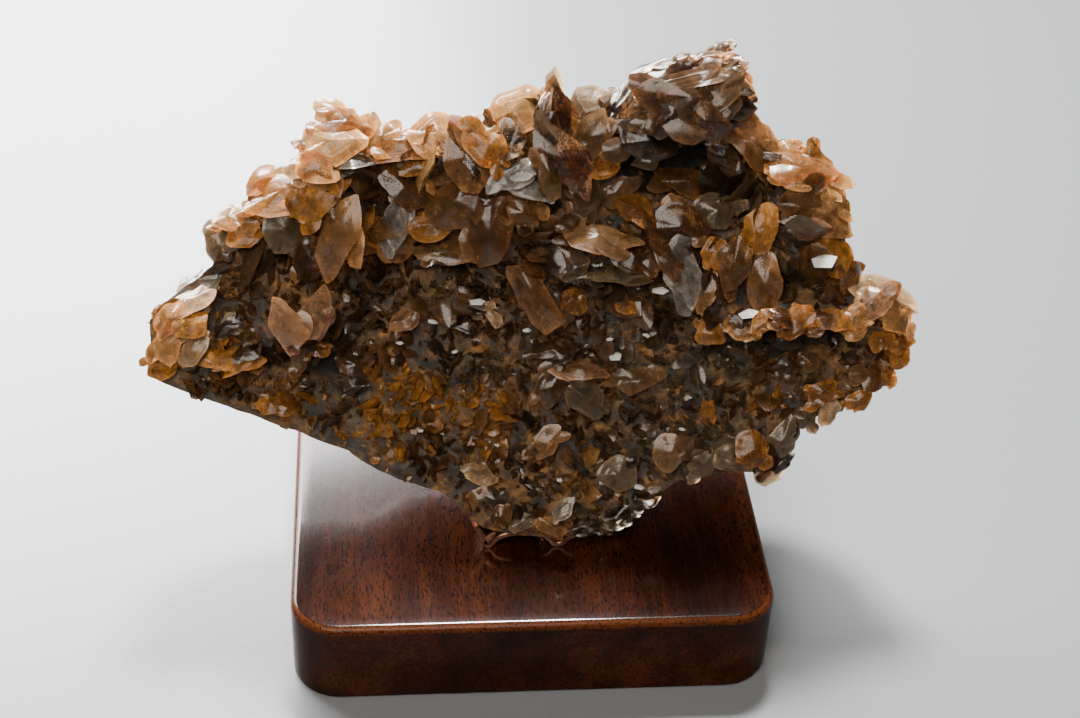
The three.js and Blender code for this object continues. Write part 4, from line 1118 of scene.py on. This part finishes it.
def rock_material():
    """Dark rock with rust streaks, and under the crystals a crust of rust and grit."""
    material, tree = new_material("dark rock")
    place = object_place(tree)
    base = ramp(tree, noise(tree, place, 160, 9, 0.68), ROCK_TONES)
    crust = ramp(tree, noise(tree, place, 130, 8, 0.7, 0.8), [(0.43, 0.05), (0.60, 0.90)])
    streaks = ramp(tree, noise(tree, place, 60, 9, 0.72, 0.8), [(0.56, 0.0), (0.66, 0.7)])
    # Crust where the attribute is 1; in the hollows it is 0 and the rock stays dark, as painted shade.
    rust = mix_colour(tree, attribute(tree, "crust_and_painted_hollow_shade"), streaks, crust)
    stain = ramp(tree, noise(tree, place, 620, 7, 0.72), CRUST_TONES)
    # The distance to the nearest of scattered places is a relief of small flats and creases.
    facets = node(tree, "TexVoronoi", {"Vector": place, "Scale": 520, "Randomness": 1.0})
    creases = times(tree, facets.outputs["Distance"], 0.28)
    fine = plus(tree, noise(tree, place, 300, 10, 0.74, 0.6), creases)
    shader = node(tree, "BsdfPrincipled", {
        "Base Color": mix_colour(tree, rust, base, stain), "Roughness": 0.55,
        "Normal": bump(tree, fine, 0.0014, 0.9)})
    finish_material(tree, shader)
    return material


def wood_material():
    """Reddish-brown stained wood with short dark pores along the grain, under a thin clear polish.

    The polish is strongest where the wood faces up, and faint on its sides and worn edge. The upper
    edge is also painted lighter, partly as wear and partly as a painted highlight.
    """
    material, tree = new_material("stained wood")
    place = object_place(tree)
    bands = noise(tree, object_place(tree, (1.0, 0.12, 1.0)), 80, 5, 0.6, 0.6)
    streaks = noise(tree, object_place(tree, (1.0, 0.06, 1.0)), 1100, 4, 0.65)
    colour = ramp(tree, plus(tree, times(tree, bands, 0.7), times(tree, streaks, 0.3)), WOOD_TONES)
    worn_and_highlit_edge = attribute(tree, "worn_and_highlit_edge")
    # The upper edge painted lighter: partly wear, partly a painted highlight.
    colour = mix_colour(tree, times(tree, worn_and_highlit_edge, 0.25), colour, WORN_AND_HIGHLIT_EDGE)
    pores = noise(tree, object_place(tree, (1.0, 0.24, 1.0)), 3200, 2, 0.45)
    pore = ramp(tree, pores, [(0.555, 0.0), (0.595, 1.0)])
    colour = mix_colour(tree, times(tree, pore, 0.85), colour, WOOD_PORE)
    dust = ramp(tree, noise(tree, place, 2600, 2, 0.7), [(0.735, 0.0), (0.775, 1.0)])
    colour = mix_colour(tree, times(tree, dust, 0.25), colour, WOOD_DUST)
    rough = ramp(tree, noise(tree, place, 140, 5, 0.6), [(0.3, 0.24), (0.7, 0.33)])
    ripple = noise(tree, object_place(tree, (1.0, 0.3, 1.0)), 420, 3, 0.5)
    height = plus(tree, times(tree, pore, -0.12), ripple)
    upward = node(tree, "SeparateXYZ", {"Vector": node(tree, "TexCoord", {}).outputs["Normal"]})
    polish = between(tree, upward.outputs["Z"], 0.06, 0.54)
    polish = times(tree, polish, sums(tree, "SUBTRACT", 1.0, times(tree, worn_and_highlit_edge, 0.8)))
    shader = node(tree, "BsdfPrincipled", {
        "Base Color": colour, "Roughness": rough, "IOR": 1.5, "Specular IOR Level": 0.03,
        "Coat Weight": polish, "Coat Roughness": 0.11, "Normal": bump(tree, height, 0.00009, 0.6)})
    finish_material(tree, shader)
    return material


def metal_material():
    """Dark copper-brown metal, brighter where it is worn, with dull spots."""
    material, tree = new_material("dark copper")
    place = object_place(tree)
    patches = noise(tree, place, 420, 6, 0.62)
    fine = noise(tree, place, 2400, 4, 0.6)
    shader = node(tree, "BsdfPrincipled", {
        "Base Color": ramp(tree, patches, METAL_TONES), "Metallic": 0.92,
        "Roughness": between(tree, patches, 0.50, 0.24), "Normal": bump(tree, fine, 0.00006, 0.7)})
    finish_material(tree, shader)
    return material


# The camera: its place, its three axes, its lens and the width of its sensor, in millimetres.
CAMERA_PLACE = (-27.1, -276.0, 261.1)
CAMERA_RIGHT = (0.9963, -0.0762, 0.0399)
CAMERA_UP = (0.0157, 0.6168, 0.7870)
CAMERA_BACK = (-0.0846, -0.7835, 0.6157)
CAMERA_LENS = 61.1
CAMERA_SENSOR = 36


def floor_material():
    """The studio's plain pale floor, a little glossy."""
    material, tree = new_material("studio floor")
    fine = noise(tree, object_place(tree), 900, 3, 0.5)
    shader = node(tree, "BsdfPrincipled", {
        "Base Color": (0.145, 0.148, 0.153, 1), "Roughness": 0.36, "Normal": bump(tree, fine, 0.00004, 0.5)})
    finish_material(tree, shader)
    return material


def studio_floor(half=5000, level=-0.2):
    """A wide flat square just under the block, apart from the object."""
    mesh = bpy.data.meshes.new("studio_floor")
    corners = [(-half, -half), (half, -half), (half, half), (-half, half)]
    mesh.from_pydata([(x * MM, y * MM, level * MM) for x, y in corners], [], [(0, 1, 2, 3)])
    floor = bpy.data.objects.new("studio_floor", mesh)
    bpy.context.scene.collection.objects.link(floor)
    mesh.materials.append(floor_material())


def photo_camera():
    """The camera at the photograph's viewing angle, from its place and its three axes."""
    data = bpy.data.cameras.new("photo_camera")
    data.lens = CAMERA_LENS
    data.sensor_width = CAMERA_SENSOR
    camera = bpy.data.objects.new("photo_camera", data)
    columns = zip(CAMERA_RIGHT, CAMERA_UP, CAMERA_BACK, (value * MM for value in CAMERA_PLACE))
    camera.matrix_world = Matrix([*(list(row) for row in columns), [0, 0, 0, 1]])
    bpy.context.scene.collection.objects.link(camera)
    bpy.context.scene.camera = camera


def soft_light(name, place, aim, size, power, colour=(1, 1, 1)):
    """A rectangular light at a place, facing another, in millimetres, hidden from the camera."""
    data = bpy.data.lights.new(name, "AREA")
    data.shape = "RECTANGLE"
    data.size, data.size_y = size[0] * MM, size[1] * MM
    data.energy = power
    data.color = colour
    light = bpy.data.objects.new(name, data)
    back = np.array(place, float) - np.array(aim, float)
    back /= np.linalg.norm(back)
    side = np.cross((0, 0, 1), back)
    side /= np.linalg.norm(side)
    up = np.cross(back, side)
    light.matrix_world = Matrix([
        [side[k], up[k], back[k], place[k] * MM] for k in range(3)] + [[0, 0, 0, 1]])
    light.visible_camera = False
    bpy.context.scene.collection.objects.link(light)


def studio_light():
    """Three soft lights in a dim room.

    A large one is behind on the left, a small one high behind the stone, and a warm one high in
    front on the left.
    """
    soft_light("back_light", (-330, 620, 390), (-60, 0, 20), (760, 400), 52)
    soft_light("top_light", (25, 225, 575), (0, 0, 40), (110, 100), 15)
    soft_light("front_fill", (-150, -440, 560), (0, 0, 50), (480, 360), 6.9, (1.0, 0.95, 0.88))
    world = bpy.data.worlds.new("dim_room")
    world.use_nodes = True
    background = world.node_tree.nodes["Background"]
    background.inputs["Color"].default_value = (1.0, 0.97, 0.93, 1)
    background.inputs["Strength"].default_value = 0.07
    bpy.context.scene.world = world


def middle_length(u, v):
    """The half-length of the middling crystals: longer in the upper half."""
    return 2.7 + 1.9 * upper_share(u, v, 36, 62)


def small_length(u, v):
    """The half-length of the small crystals: a little longer in the upper half."""
    return 1.8 + 0.4 * upper_share(u, v, 36, 62)


def tiny_length(u, v):
    """The half-length of the smallest crystals: the same all over."""
    return 0.9 + 0 * u


CALCITE = calcite_material()
rock("matrix_rock", rock_material())
for number, (part, rows) in enumerate(LARGE_CRYSTALS.items(), start=1):
    large_crystals(part, rows, 100 * number, CALCITE)
# Bundles take a seed, the pitch of their roots, the blades of each and their half-length, then the
# depth of the root, the share of a large crystal's outline that keeps them off, the profile of a
# blade and the points round it.
bundles("middling_crystals", 2000, 5.0, 5, middle_length, 2.0, 0.95, BEVELLED, 10, CALCITE, sharp=35)
bundles("small_crystals", 4000, 3.1, 4, small_length, 1.0, 0.75, SIMPLE, 8, CALCITE)
bundles("tiny_crystals", 6000, 1.95, 3, tiny_length, 0.5, 0.6, SIMPLE, 6, CALCITE, reach=0.985)
rim_crystals("rim_crystals", 150, 8000, CALCITE)
glint_crystals("glint_crystals", 9000, glassy_material())
block("wooden_block", wood_material())
metal_stand(metal_material())
studio_floor()
photo_camera()
studio_light()
